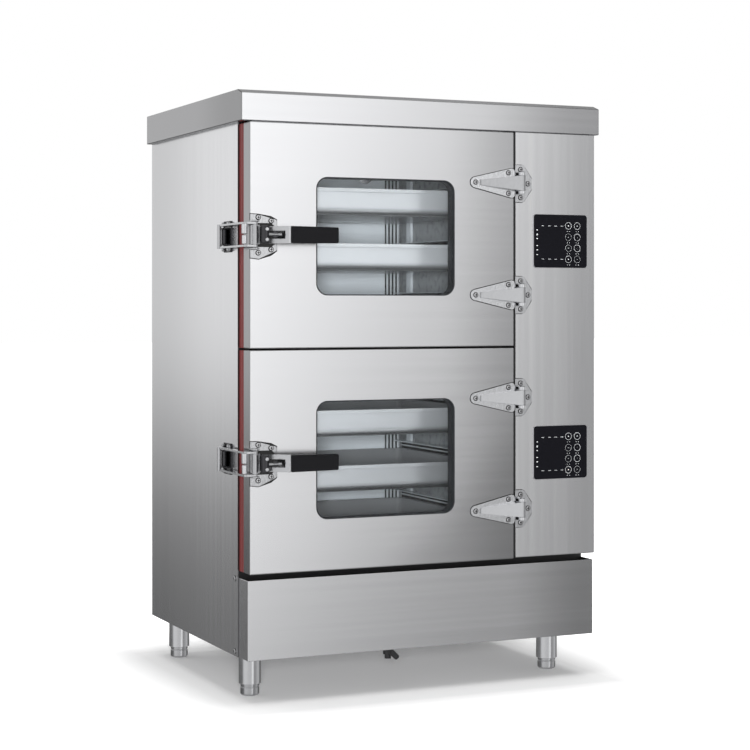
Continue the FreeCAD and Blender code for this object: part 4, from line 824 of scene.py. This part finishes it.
class CABINET_OT_uprights(bpy.types.Operator):
    """Roll a ribbed upright on a near black plate of painted shade for both rear corners of each
    chamber, and line the channel rails with painted shade and wires
    """

    bl_idname = "cabinet.uprights"
    bl_label = "Chamber uprights"

    HALF_WIDTH = 16 * MM
    FROM_RACK_END = 18 * MM
    RIB_PITCH = 8 * MM

    def execute(self, context):
        sheet = context.scene.cabinet_sizes.sheet
        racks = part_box("tray_racks")
        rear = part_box("chamber_liners")[1].y - sheet
        centre = racks[0].x + self.FROM_RACK_END
        across = racks[1].x - self.FROM_RACK_END - centre
        for word in LEVELS:
            bottoms = [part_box(f"{word}_tray_{number}")[0].z for number in (1, 3)]
            low = min(bottoms) - 8 * MM
            high = min(max(bottoms) + 120 * MM, racks[1].z - 2 * MM)
            # Painted shade: the back plate behind the ribs is near black.
            back = add_block(f"{word}_left_upright_back",
                             (centre - self.HALF_WIDTH, rear - sheet, low),
                             (centre + self.HALF_WIDTH, rear, high))
            pick(back, facing((0, -1, 0)))
            bpy.ops.mesh.inset(thickness=2 * MM)
            bpy.ops.transform.translate(value=(0, sheet / 2, 0))
            soften(back, 0.3 * MM)
            first_rib = (centre - 1.5 * self.RIB_PITCH, rear - 3.4 * MM, (low + high) / 2)
            rib = add_bar("rib", "Z", first_rib, high - low, 2.1 * MM, 20)
            soften(rib, 0.6 * MM)
            ribs = join(f"{word}_left_upright_ribs", repeat(
                rib, [(step * self.RIB_PITCH, 0, 0) for step in (1, 2, 3)]))
            for piece, finish in ((back, "Recess dark"), (ribs, "Rack steel")):
                twin = copy_to(piece, piece.name.replace("left", "right"), (across, 0, 0))
                fit(piece, "cabinet", "rack_steel", finish)
                fit(twin, "cabinet", "rack_steel", finish)
        self.lay_rail_shade(racks)
        return {"FINISHED"}

    def lay_rail_shade(self, racks):
        """Lay a near black strip of painted shade and a bright wire in the rails on both sides of
        every tray.
        """
        rims = [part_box(f"{word}_tray_{number}")[1].z for word in LEVELS for number in (1, 2, 3)]
        end_gap, wire_in = 2 * MM, 8.4 * MM
        # Painted shade: a near black strip in each rail's channel.
        strip = add_block("glide", (racks[1].x - 7.1 * MM, racks[0].y + end_gap,
                                    rims[0] - 5.6 * MM),
                          (racks[1].x - 6.2 * MM, racks[1].y - end_gap, rims[0] + 13.2 * MM))
        soften(strip, 0.3 * MM)
        across = racks[0].x + 13.3 * MM - racks[1].x
        places = [(shift, 0, rim - rims[0]) for rim in rims for shift in (0, across)]
        fit(join("rail_glides", repeat(strip, places[1:])), "cabinet", "seal_rubber",
            "Recess dark")
        wires = [
            add_bar("wire", "Y", (x, (racks[0].y + racks[1].y) / 2, rim + 5 * MM),
                    racks[1].y - racks[0].y - 2 * end_gap, 1.4 * MM, 12)
            for rim in rims for x in (racks[0].x + wire_in, racks[1].x - wire_in)]
        for wire in wires:
            soften(wire, 0.4 * MM, 2)
        fit(join("rail_wires", wires), "cabinet", "rack_steel", "Rack steel")


class CABINET_OT_controls(bpy.types.Operator):
    """Set both black touch panels in thin frames, with their printed keys and dashes"""

    bl_idname = "cabinet.controls"
    bl_label = "Touch panels"

    # A glyph: its size in mm, and where its keys lie, in shares across and down the panel
    KEYS = {
        "dot": ((2.2, 2.2), [(0.646, 0.21), (0.646, 0.838)]),
        "bar": ((3.0, 0.9), [(0.811, 0.21)]),
        "post": ((1.0, 3.0), [(0.811, 0.424), (0.811, 0.629)]),
        "dash": ((2.0, 0.6), [(0.646, 0.424), (0.646, 0.629), (0.811, 0.838)]),
    }
    DISPLAY_DASHES = [(column, row) for column in (0.168, 0.293, 0.409, 0.524)
                      for row in (0.217, 0.838)]
    SIDE_MARKS = [(0.295, 1.3), (0.381, 4.4), (0.457, 1.5), (0.586, 1.3), (0.667, 1.5),
                  (0.757, 1.3)]  # share down the panel, height in mm

    def marks(self, name, low, high, ring):
        """Print eight key rings with their glyphs and pips, the dashes and the side marks."""
        width, height = high.x - low.x, high.z - low.z

        def spot(across, down):
            return Vector((low.x + across * width, low.y - 0.05 * MM, high.z - down * height))

        def dash(across, down, long, tall):
            reach = Vector((long / 2, 0.05, tall / 2)) * MM
            return rounded_slab("dash", spot(across, down) - reach, spot(across, down) + reach,
                                tall * 0.45 * MM, 3)

        def print_all(mark, places):
            return repeat(mark, [spot(*place) - spot(*places[0]) for place in places[1:]])

        parts = []
        for glyph, (size, places) in self.KEYS.items():
            across, down = places[0]
            line = 0.13 if glyph == "dash" else 0.23
            start_fresh()
            bpy.ops.mesh.primitive_torus_add(
                location=spot(across, down), rotation=(math.pi / 2, 0, 0), major_segments=36,
                minor_segments=6, major_radius=ring, minor_radius=line * MM)
            loop = bpy.context.object
            bpy.ops.object.transform_apply(location=True, rotation=True, scale=True)
            pick(loop, lambda face: True)
            bpy.ops.transform.resize(value=(1, 0.25, 1), center_override=spot(across, down))
            pips = [dash(across + side, down + 0.105, 1.4, 1.0) for side in (-0.022, 0.022)]
            key = join("key", [loop, dash(across, down, *size), *pips])
            parts += print_all(key, places)
        parts += print_all(dash(*self.DISPLAY_DASHES[0], 5.6, 0.6), self.DISPLAY_DASHES)
        parts += [dash(0.064, row, 3.2, tall) for row, tall in self.SIDE_MARKS]
        return join(name, parts)

    def execute(self, context):
        sizes = context.scene.cabinet_sizes
        low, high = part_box("control_panels")
        height = sizes.panel_height
        first_low, first_high = Vector((low.x, low.y, high.z - height)), high
        rim = Vector((0.6 * MM, 0, 0.6 * MM))
        panel = rounded_slab("touch_panel_upper", first_low + rim, first_high - rim,
                             sizes.panel_corner - rim.x)
        soften(panel, 0.5 * MM)
        frame_rim = rounded_frame("panel_frame_upper", first_low + Vector((0, 0.4 * MM, 0)),
                                  first_high, sizes.panel_corner, rim.x)
        soften(frame_rim, 0.3 * MM)
        marks = self.marks("key_marks_upper", first_low, first_high, sizes.key_ring)
        drop = (0, 0, low.z + height - high.z)
        second = [copy_to(piece, piece.name.replace("upper", "lower"), drop)
                  for piece in (panel, frame_rim, marks)]
        fit(panel, "cabinet", "panel_black", "Panel black", "control_panels")
        fit(second[0], "cabinet", "panel_black", "Panel black")
        for piece in (frame_rim, second[1]):
            fit(piece, "cabinet", "brushed_steel", "Panel frame")
        for piece in (marks, second[2]):
            fit(piece, "cabinet", "panel_black", "Key marks")
        return {"FINISHED"}


def cut_plate(name, corners, front, back):
    """Cut a plate that faces forward to an outline of (x, z) corners, from front to back."""
    start_fresh()
    bpy.ops.mesh.primitive_circle_add(
        vertices=len(corners), radius=0.01, fill_type="NGON", rotation=(math.pi / 2, 0, 0))
    plate = bpy.context.object
    plate.name = plate.data.name = name
    bpy.ops.object.transform_apply(location=True, rotation=True, scale=True)
    start = [spot.co.copy() for spot in plate.data.vertices]
    for index, (x, z) in enumerate(corners):
        pick(plate, lambda spot: spot.index == index, "VERT")
        bpy.ops.transform.translate(value=Vector((x, front, z)) - start[index])
    pick(plate, lambda face: True)
    extrude(y=back - front)
    pick(plate, lambda face: True)
    bpy.ops.mesh.normals_make_consistent(inside=False)
    return plate


def outline(corners, height):
    """Set (x, rise) corners in mm about a height, in metres."""
    return [(x * MM, height + rise * MM) for x, rise in corners]


def mirrored(half, height):
    """Close an outline that is the same above and below a height from its upper half."""
    return outline(half + [(x, -rise) for x, rise in reversed(half) if rise > 0], height)


def hinge_heights(word):
    """Give the middle heights of the two hinges of a door."""
    low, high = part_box(f"{word}_hinge_straps")
    half = 27 * MM
    return low.z + half, high.z - half


def latch_height(word):
    """Give the middle height of a door's latch, where its lever turns."""
    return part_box(f"{word}_latch_base")[0].z + 42 * MM


def recast(node, name, radius, segments=2, angle=35.0):
    """Take a casting's form from its CAD node: merge a copy and round its edges."""
    start_fresh()
    piece = bpy.data.objects.new(name, frame["nodes"][node].data.copy())
    bpy.context.scene.collection.objects.link(piece)
    piece.data.name = name
    pick(piece, lambda face: True)
    bpy.ops.mesh.remove_doubles(threshold=0.00001)
    bpy.ops.mesh.dissolve_limited(angle_limit=math.radians(1.0))
    bpy.ops.mesh.normals_make_consistent(inside=False)
    soften(piece, radius, segments, angle)
    return piece


class CABINET_OT_hinges(bpy.types.Operator):
    """Cast the four strap hinges: straps on the doors and leaves with knuckles on the column"""

    bl_idname = "cabinet.hinges"
    bl_label = "Hinges"

    # Upper halves of the outlines of the near black plates of painted shadow under straps and
    # leaves, (x, rise) in mm; a strap's tip is round.
    STRAP_HALF = [(98 - 11 * math.cos(turn), 11 * math.sin(turn))
                  for turn in (0, 0.45, 0.9, 1.35)] + [(171.6, 28), (179.8, 28)]
    LEAF_HALF = [(182.1, 35.5), (198, 35.5), (203.5, 33), (219, 11.5), (219.4, 8)]

    def execute(self, context):
        for word in LEVELS:
            straps = recast(f"{word}_hinge_straps", f"{word}_cast_straps", 0.7 * MM, 3)
            fit(straps, f"{word}_door", "bright_metal", "Strap metal", f"{word}_hinge_straps")
            face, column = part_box(f"{word}_door_shell")[0].y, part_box("column_cover")[0].y
            heights = hinge_heights(word)
            apart = [(0, 0, heights[1] - heights[0])]
            for name, body, half, seat in (("strap", f"{word}_door", self.STRAP_HALF, face),
                                           ("leaf", "cabinet", self.LEAF_HALF, column)):
                # Painted shadow: a near black plate a little larger than the strap or leaf, for the
                # shadow round its edge.
                pad = cut_plate("pad", mirrored(half, heights[0]), seat - 0.4 * MM,
                                seat + 0.2 * MM)
                fit(join(f"{word}_{name}_pads", repeat(pad, apart)), body, "seal_rubber",
                    "Recess dark")
        leaves = recast("hinge_leaves", "cast_leaves", 0.6 * MM, 3)
        fit(leaves, "cabinet", "bright_metal", "Leaf metal", "hinge_leaves")
        return {"FINISHED"}


class CABINET_OT_latches(bpy.types.Operator):
    """Cast both latches: base, forked lever, link and keeper, and mould their black grips"""

    bl_idname = "cabinet.latches"
    bl_label = "Latches"

    CAM_X, SPINDLE_X, PIN_RISE = -326.5 * MM, -311.5 * MM, 9 * MM
    NUT_X, NUT_Y, NUT_RISE = -349.5 * MM, (-176.5 * MM, -148.5 * MM), 22 * MM
    # Outlines, (x, rise) in mm
    SHADOW_OUTLINE = [(-343.2, -41), (-326.5, -43), (-303, -36), (-291.8, -28), (-291.8, 27.8),
           (-303, 33.5), (-326.5, 37.2), (-343.2, 38)]
    SLOT_SHADE = [(-340, -21), (-303, -21), (-297, -15), (-297, 15), (-303, 21), (-340, 21)]

    def knob(self, name, axis, centre, length, radius, sides=24):
        """Turn one short pin or nut with rounded ends."""
        pin = add_bar(name, axis, Vector(centre), length, radius, sides)
        soften(pin, min(radius, length) * 0.28, segments=3)
        return pin

    def hardware(self, word):
        """Fit a latch's plate of painted shadow, cam, pins, nuts and the near black plate of
        painted shade behind the fork's slot.
        """
        low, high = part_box(f"{word}_latch_lever")
        middle_height = latch_height(word)
        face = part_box(f"{word}_door_shell")[0].y
        # Painted shadow round the base, and painted shade behind the fork's slot, both as near
        # black plates.
        pad = cut_plate(f"{word}_latch_pad", outline(self.SHADOW_OUTLINE, middle_height),
                        face - 0.4 * MM, face + 0.2 * MM)
        fit(pad, f"{word}_door", "seal_rubber", "Recess dark")
        slot_shade_plate = cut_plate(f"{word}_latch_liner", outline(self.SLOT_SHADE, middle_height),
                          face - 3.4 * MM, face - 2.2 * MM)
        soften(slot_shade_plate, 0.4 * MM)
        fit(slot_shade_plate, f"{word}_door", "bright_metal", "Recess dark")
        # Painted shade: the cam and nut take the near black chrome.
        dark = [
            self.knob("cam", "Z", (self.CAM_X, low.y + 10.5 * MM, middle_height),
                      31 * MM, 8 * MM),
            self.knob("nut", "Y", (self.SPINDLE_X, low.y + 1.2 * MM, middle_height),
                      4 * MM, 6.5 * MM, 6)]
        pin = self.knob("pin", "Y", (self.CAM_X, low.y + 2.5 * MM, middle_height - self.PIN_RISE),
                        5 * MM, 3.4 * MM)
        bright = repeat(pin, [(0, 0, 2 * self.PIN_RISE)]) + [
            self.knob("spindle", "X", (self.SPINDLE_X, low.y + 1.4 * MM, middle_height),
                      24 * MM, 2.4 * MM)]
        fit(join(f"{word}_latch_cam", dark), f"{word}_latch_lever", "bright_metal",
            "Dark chrome")
        fit(join(f"{word}_latch_pins", bright), f"{word}_latch_lever", "bright_metal",
            "Cast metal")
        link_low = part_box(f"{word}_latch_link")[0]
        shoes = [self.knob("shoe", "Z", (link_low.x + radius + 0.1 * MM,
                                         link_low.y + radius + 0.1 * MM, middle_height + rise),
                           length, radius, sides)
                 for rise, length, radius, sides in (
                     (10 * MM, 18.6 * MM, 5.2 * MM, 24), (-9 * MM, 16 * MM, 4.8 * MM, 7))]
        fit(join(f"{word}_link_shoe", shoes), f"{word}_latch_link", "bright_metal", "Leaf metal")

    def grip(self, word):
        """Mould one grip: soft edges and a shallow flute along its front."""
        low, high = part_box(f"{word}_latch_grip")
        grip = add_block(f"{word}_moulded_grip", low, high)
        pick(grip, lambda spot: near(spot.co.x, high.x), "VERT")
        bpy.ops.transform.resize(value=(1, 1, 0.93), center_override=(low + high) / 2)
        pick(grip, facing((0, -1, 0)))
        bpy.ops.mesh.inset(thickness=4 * MM)
        bpy.ops.transform.translate(value=(0, 0.8 * MM, 0))
        soften(grip, 2.2 * MM, segments=4, angle=8)
        fit(grip, f"{word}_latch_lever", "grip_black", "Grip black", f"{word}_latch_grip")

    def execute(self, context):
        for word in LEVELS:
            for name, body, edge in (("base", "door", 0.6), ("lever", "latch_lever", 0.8),
                                     ("link", "latch_link", 0.8)):
                node = f"{word}_latch_{name}"
                cast = recast(node, f"{word}_cast_{name}", edge * MM, 3)
                fit(cast, f"{word}_{body}", "bright_metal", "Cast metal", node)
            self.grip(word)
            self.hardware(word)
        # Painted shade: the keepers take the near black chrome.
        keepers = recast("latch_keepers", "cast_keepers", 0.6 * MM, 3)
        fit(keepers, "cabinet", "bright_metal", "Dark chrome", "latch_keepers")
        places = [Vector((self.NUT_X, y, latch_height(word) + rise)) for word in LEVELS
                  for y in self.NUT_Y for rise in (-self.NUT_RISE, self.NUT_RISE)]
        nut = self.knob("nut", "X", places[0], 5 * MM, 4.6 * MM, 6)
        nuts = repeat(nut, [place - places[0] for place in places[1:]])
        fit(join("keeper_nuts", nuts), "cabinet", "bright_metal", "Cast metal")
        return {"FINISHED"}


class CABINET_OT_feet(bpy.types.Operator):
    """Turn the four foot inserts and round the tubes that they screw into"""

    bl_idname = "cabinet.feet"
    bl_label = "Feet"

    def execute(self, context):
        sleeves = recast("foot_sleeves", "turned_sleeves", 0.8 * MM, 3)
        fit(sleeves, "cabinet", "foot_steel", "Foot steel", "foot_sleeves")
        first, neck = None, (14.5 * MM, 16.5 * MM)
        for corner in ("front_left", "front_right", "rear_left", "rear_right"):
            node = f"foot_insert_{corner}"
            low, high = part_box(node)
            centre = (low + high) / 2
            if first is None:
                radius = (high.x - low.x) / 2
                first = add_bar(f"turned_{node}", "Z", centre, high.z - low.z, radius, 48)
                for up in (2.5 * MM, 5.5 * MM, *neck):
                    split(first, 2, up)
                pick(first, lambda spot: near(spot.co.z, 0), "VERT")
                bpy.ops.transform.resize(value=(0.86, 0.86, 1), center_override=centre)
                pick(first, lambda face: abs(face.normal.z) < 0.5
                     and neck[0] < face.calc_center_median().z < neck[1])
                bpy.ops.mesh.extrude_region_shrink_fatten(
                    TRANSFORM_OT_shrink_fatten={"value": -1.0 * MM, "use_even_offset": True})
                soften(first, 0.5 * MM, segments=2)
                start, insert = centre, first
            else:
                insert = copy_to(first, f"turned_{node}", centre - start)
            fit(insert, node, "insert_steel", "Insert steel", node)
        return {"FINISHED"}


class CABINET_OT_screws(bpy.types.Operator):
    """Turn one domed screw head with a cross recess and drive a copy in at every CAD screw"""

    bl_idname = "cabinet.screws"
    bl_label = "Screws"

    def places(self, node):
        """Find where a CAD node's screw heads sit and which way each looks."""
        start_fresh()
        copy = bpy.data.objects.new("heads", frame["nodes"][node].data.copy())
        bpy.context.scene.collection.objects.link(copy)
        pick(copy, lambda face: True)
        bpy.ops.mesh.remove_doubles(threshold=0.00001)
        bpy.ops.mesh.separate(type="LOOSE")
        bpy.ops.object.mode_set(mode="OBJECT")
        found = []
        for head in list(bpy.context.selected_objects):
            corners = [spot.co for spot in head.data.vertices]
            low = Vector([min(spot[axis] for spot in corners) for axis in range(3)])
            high = Vector([max(spot[axis] for spot in corners) for axis in range(3)])
            axis = min(range(3), key=lambda index: (high - low)[index])
            seat = (low + high) / 2
            wide = [max((spot - seat).length for spot in corners if near(spot[axis], level))
                    for level in (low[axis], high[axis])]
            outward = 1 if wide[0] > wide[1] else -1
            seat[axis] = low[axis] if outward > 0 else high[axis]
            found.append((seat, axis, outward))
            bpy.data.objects.remove(head)
        return sorted(found, key=lambda item: tuple(round(value, 4) for value in item[0]))

    def head(self, sizes):
        """Turn one head that looks forward, seated at the origin."""
        radius, height = sizes.screw_radius, sizes.screw_height
        head = add_bar("screw_head", "Y", (0, -height / 2, 0), height, radius, 28)
        pick(head, lambda edge: near(edge.verts[0].co.y, -height)
             and near(edge.verts[1].co.y, -height), "EDGE")
        bpy.ops.mesh.bevel(offset=height * 0.6, segments=3, affect="EDGES")
        for long, tall in ((1.25, 0.36), (0.36, 1.25)):
            slot = add_block("slot", (-radius * long / 2, -height * 1.5, -radius * tall / 2),
                             (radius * long / 2, -height * 0.45, radius * tall / 2))
            take_away(head, slot)
        soften(head, 0)
        return head

    def shade(self, sizes):
        """Make the near black ring of painted shadow under a head and the painted shade on the
        floor of its cross recess.
        """
        radius, height = sizes.screw_radius, sizes.screw_height
        parts = [add_bar("washer", "Y", (0, -0.35 * MM, 0), 0.7 * MM, radius * 1.22, 28)]
        for long, tall in ((1.22, 0.4), (0.4, 1.22)):
            parts.append(add_block(
                "floor", (-radius * long / 2, -height * 0.72, -radius * tall / 2),
                (radius * long / 2, -height * 0.3, radius * tall / 2)))
        shade = join("screw_shade", parts)
        soften(shade, 0)
        return shade

    def driven_copy(self, piece, seat, turn):
        """Copy a piece that looks forward from the origin to a seat, turned."""
        hold(piece)
        bpy.ops.object.duplicate(linked=False)
        copy = bpy.context.object
        copy.rotation_euler = turn
        copy.location = seat
        bpy.ops.object.transform_apply(location=True, rotation=True, scale=True)
        return copy

    def execute(self, context):
        sizes = context.scene.cabinet_sizes
        head, shade = self.head(sizes), self.shade(sizes)
        turns = {(1, -1): (0, 0, 0), (1, 1): (0, 0, math.pi),
                 (0, -1): (0, 0, -math.pi / 2), (0, 1): (0, 0, math.pi / 2)}
        groups = [("body_screws", "cabinet")] + [
            (f"{word}_door_screws", f"{word}_door") for word in LEVELS]
        for node, body in groups:
            heads, shades = [], []
            for seat, axis, outward in self.places(node):
                turn = turns[(axis, outward)]
                heads.append(self.driven_copy(head, seat, turn))
                shades.append(self.driven_copy(shade, seat, turn))
            fit(join(f"driven_{node}", heads), body, "bright_metal", "Screw steel", node)
            fit(join(f"shade_{node}", shades), body, "bright_metal", "Recess dark")
        bpy.data.objects.remove(shade)
        bpy.data.objects.remove(head)
        return {"FINISHED"}


# The studio: brightness by direction, in degrees around from straight ahead of the cabinet
# to its right, and degrees up. The steel reflects it; the lamps light what isn't polished.
STUDIO_PEAK = 1.4  # where both lists say 1
FILL_LEVEL = 0.42  # what diffuse rays meet everywhere
TILT = 0.4  # degrees that the bands lean around for each degree up
WHITE_FLOOR_AWAY = 0.25  # metres from the cabinet to where the floor is white
AROUND = [(-180, 0.56), (-150, 0.62), (-120, 0.56), (-60, 0.62), (-20, 0.52), (4, 0.52), (11, 0.9),
          (17, 1.0), (30, 0.2), (42, 0.28), (75, 0.45), (120, 0.56), (180, 0.56)]
FRONT_RISE = [(-90, 0.45), (-40, 0.48), (-22, 0.6), (-14, 0.76), (-6, 0.98), (0, 1.0), (22, 1.0),
              (30, 0.3), (45, 0.35), (60, 0.55), (90, 0.65)]
REAR_RISE = [(-90, 0.45), (-40, 0.5), (-20, 0.3), (-10, 0.14), (-6, 0.26), (-1.5, 0.97), (20, 1.0),
             (27, 0.3), (50, 0.45), (90, 0.65)]
LAMPS = (  # name, place, aim, size, share of the lamp power
    ("front_softbox", (-1.5, -3.35, 0.72), (-0.08, -0.2, 0.64), 0.4, 0.66),
    ("side_softbox", (-2.2, 1.9, 1.9), (-0.3, 0.0, 0.8), 1.6, 0.06),
    ("top_softbox", (0.0, -0.4, 2.8), (0.0, 0.0, 0.0), 2.4, 0.33),
)


class CABINET_OT_stage(bpy.types.Operator):
    """Set up the pale floor, the soft lamps, the studio around them and the camera"""

    bl_idname = "cabinet.stage"
    bl_label = "Stage"

    def floor(self, settings):
        """Lay the pale floor; away from the cabinet the camera sees it turn white."""
        start_fresh()
        bpy.ops.mesh.primitive_plane_add(size=60)
        floor = bpy.context.object
        floor.name = floor.data.name = "studio_floor"
        material = bpy.data.materials.new("Studio floor")
        material.use_nodes = True
        tree = material.node_tree
        shader = tree.nodes["Principled BSDF"]
        shader.inputs["Roughness"].default_value = 0.9
        shader.inputs["Specular IOR Level"].default_value = 0.0
        place = add_node(tree, "ShaderNodeTexCoord").outputs["Object"]
        cloud = add_node(tree, "ShaderNodeTexNoise", {"Vector": place, "Scale": 0.4})
        pale = tuple(settings.floor_colour)
        shade = add_node(tree, "ShaderNodeMixRGB", {
            "Fac": cloud.outputs["Fac"], "Color1": (*pale, 1), "Color2": (*tone(pale, 0.99), 1)})
        tree.links.new(shade.outputs["Color"], shader.inputs["Base Color"])
        away = place
        for operation, limit in (("ABSOLUTE", (0, 0, 0)),
                                 ("SUBTRACT", (CAD_BOUNDS[1][0], CAD_BOUNDS[1][1], 0)),
                                 ("MAXIMUM", (0, 0, 0))):
            away = add_node(tree, "ShaderNodeVectorMath", {0: away, 1: limit},
                            operation=operation).outputs[0]
        away = add_node(tree, "ShaderNodeVectorMath", {0: away}, operation="LENGTH")
        whiten = add_node(tree, "ShaderNodeMapRange", {
            "Value": away.outputs["Value"], "From Max": WHITE_FLOOR_AWAY})
        path = add_node(tree, "ShaderNodeLightPath")
        shader.inputs["Emission Color"].default_value = (1, 1, 1, 1)
        tree.links.new(reckon(tree, "MULTIPLY", path.outputs["Is Camera Ray"],
                              whiten.outputs["Result"]), shader.inputs["Emission Strength"])
        floor.data.materials.append(material)
        floor.visible_glossy = False

    def band(self, tree, angle, stops):
        """Give the brightness that a list of (degrees, brightness) stops sets along an angle."""
        first, last = stops[0][0], stops[-1][0]
        spread = add_node(tree, "ShaderNodeMapRange", {
            "Value": angle, "From Min": math.radians(first), "From Max": math.radians(last)})
        ramp = add_node(tree, "ShaderNodeValToRGB", {"Fac": spread.outputs["Result"]})
        for _ in stops[2:]:
            ramp.color_ramp.elements.new(0.5)
        for element, (degrees, level) in zip(ramp.color_ramp.elements, stops):
            element.position = (degrees - first) / (last - first)
            element.color = (level, level, level, 1)
        return ramp.outputs["Color"]

    def studio(self, scene):
        """Surround the cabinet with a studio of bands for glossy rays, white for the camera."""
        world = bpy.data.worlds.new("Pale studio")
        scene.world = world
        world.use_nodes = True
        tree = world.node_tree
        tree.nodes.clear()
        place = add_node(tree, "ShaderNodeTexCoord")
        way = add_node(tree, "ShaderNodeSeparateXYZ", {0: place.outputs["Generated"]}).outputs
        around = reckon(tree, "ARCTAN2", way["X"], reckon(tree, "MULTIPLY", way["Y"], -1.0))
        rise = reckon(tree, "ARCSINE", way["Z"])
        across = self.band(tree, reckon(tree, "MULTIPLY_ADD", rise, -TILT, around), AROUND)
        behind = add_node(tree, "ShaderNodeMapRange", {
            "Value": way["Y"], "From Min": -0.2, "From Max": 0.3},
            interpolation_type="SMOOTHSTEP")
        upright = add_node(tree, "ShaderNodeMixRGB", {
            "Fac": behind.outputs["Result"], "Color1": self.band(tree, rise, FRONT_RISE),
            "Color2": self.band(tree, rise, REAR_RISE)})
        both = add_node(tree, "ShaderNodeMixRGB", {
            "Fac": 1.0, "Color1": across, "Color2": upright.outputs["Color"]},
            blend_type="MULTIPLY")
        seen = add_node(tree, "ShaderNodeBackground", {
            "Color": both.outputs["Color"], "Strength": STUDIO_PEAK})
        fill, white = [
            add_node(tree, "ShaderNodeBackground", {"Color": (1, 1, 1, 1), "Strength": level})
            for level in (FILL_LEVEL, 1.0)]
        path = add_node(tree, "ShaderNodeLightPath").outputs
        bright = add_node(tree, "ShaderNodeMixShader", {
            "Fac": path["Is Diffuse Ray"], 1: seen.outputs[0], 2: fill.outputs[0]})
        through = reckon(tree, "SUBTRACT", path["Is Transmission Ray"], path["Glossy Depth"],
                         use_clamp=True)
        back = add_node(tree, "ShaderNodeMixShader", {
            "Fac": reckon(tree, "MAXIMUM", path["Is Camera Ray"], through),
            1: bright.outputs[0], 2: white.outputs[0]})
        add_node(tree, "ShaderNodeOutputWorld", {"Surface": back.outputs[0]})

    def lamp(self, name, place, aim, size, power):
        """Hang one soft square lamp that looks at a point."""
        start_fresh()
        bpy.ops.object.light_add(type="AREA", location=place)
        lamp = bpy.context.object
        lamp.name = lamp.data.name = name
        lamp.data.shape = "RECTANGLE"
        lamp.data.size = lamp.data.size_y = size
        lamp.data.energy = power
        lamp.visible_camera = lamp.visible_glossy = lamp.visible_transmission = False
        way = Vector(aim) - Vector(place)
        lamp.rotation_euler = way.to_track_quat("-Z", "Y").to_euler()

    def execute(self, context):
        scene = context.scene
        settings = scene.cabinet_stage
        self.floor(settings)
        self.studio(scene)
        for name, place, aim, size, share in LAMPS:
            self.lamp(name, place, aim, size, settings.lamp_power * share)
        start_fresh()
        bpy.ops.object.camera_add(
            location=settings.camera_place, rotation=(math.pi / 2, 0, -settings.camera_turn))
        camera = context.object
        camera.name = "photograph_view"
        camera.data.sensor_width = 36
        camera.data.lens = settings.camera_lens
        camera.data.shift_y = settings.camera_shift
        scene.camera = camera
        scene.view_settings.view_transform = "Standard"
        return {"FINISHED"}


class CABINET_PT_sidebar(bpy.types.Panel):
    """The cabinet's pieces, colours and stage"""

    bl_label = "Steam cabinet"
    bl_idname = "CABINET_PT_sidebar"
    bl_space_type = "VIEW_3D"
    bl_region_type = "UI"
    bl_category = "Steam cabinet"

    def draw(self, context):
        scene = context.scene
        for group in (scene.cabinet_sizes, scene.cabinet_colours, scene.cabinet_stage):
            box = self.layout.box()
            for name in group.__annotations__:
                box.prop(group, name)
        for operator in OPERATORS:
            self.layout.operator(operator.bl_idname)


OPERATORS = (
    CABINET_OT_finishes, CABINET_OT_doors, CABINET_OT_seals, CABINET_OT_casing,
    CABINET_OT_trays, CABINET_OT_uprights, CABINET_OT_controls, CABINET_OT_hinges,
    CABINET_OT_latches, CABINET_OT_feet, CABINET_OT_screws, CABINET_OT_stage,
)
CLASSES = (CabinetSizes, CabinetColours, StageSettings, *OPERATORS, CABINET_PT_sidebar)


def register():
    for item in CLASSES:
        bpy.utils.register_class(item)
    bpy.types.Scene.cabinet_sizes = bpy.props.PointerProperty(type=CabinetSizes)
    bpy.types.Scene.cabinet_colours = bpy.props.PointerProperty(type=CabinetColours)
    bpy.types.Scene.cabinet_stage = bpy.props.PointerProperty(type=StageSettings)


def unregister():
    del bpy.types.Scene.cabinet_stage
    del bpy.types.Scene.cabinet_colours
    del bpy.types.Scene.cabinet_sizes
    for item in reversed(CLASSES):
        bpy.utils.unregister_class(item)


def main():
    """Register the add-on and make every piece in order."""
    register()
    for operator in OPERATORS:
        area, name = operator.bl_idname.split(".")
        getattr(getattr(bpy.ops, area), name)()


if __name__ == "__main__":
    main()
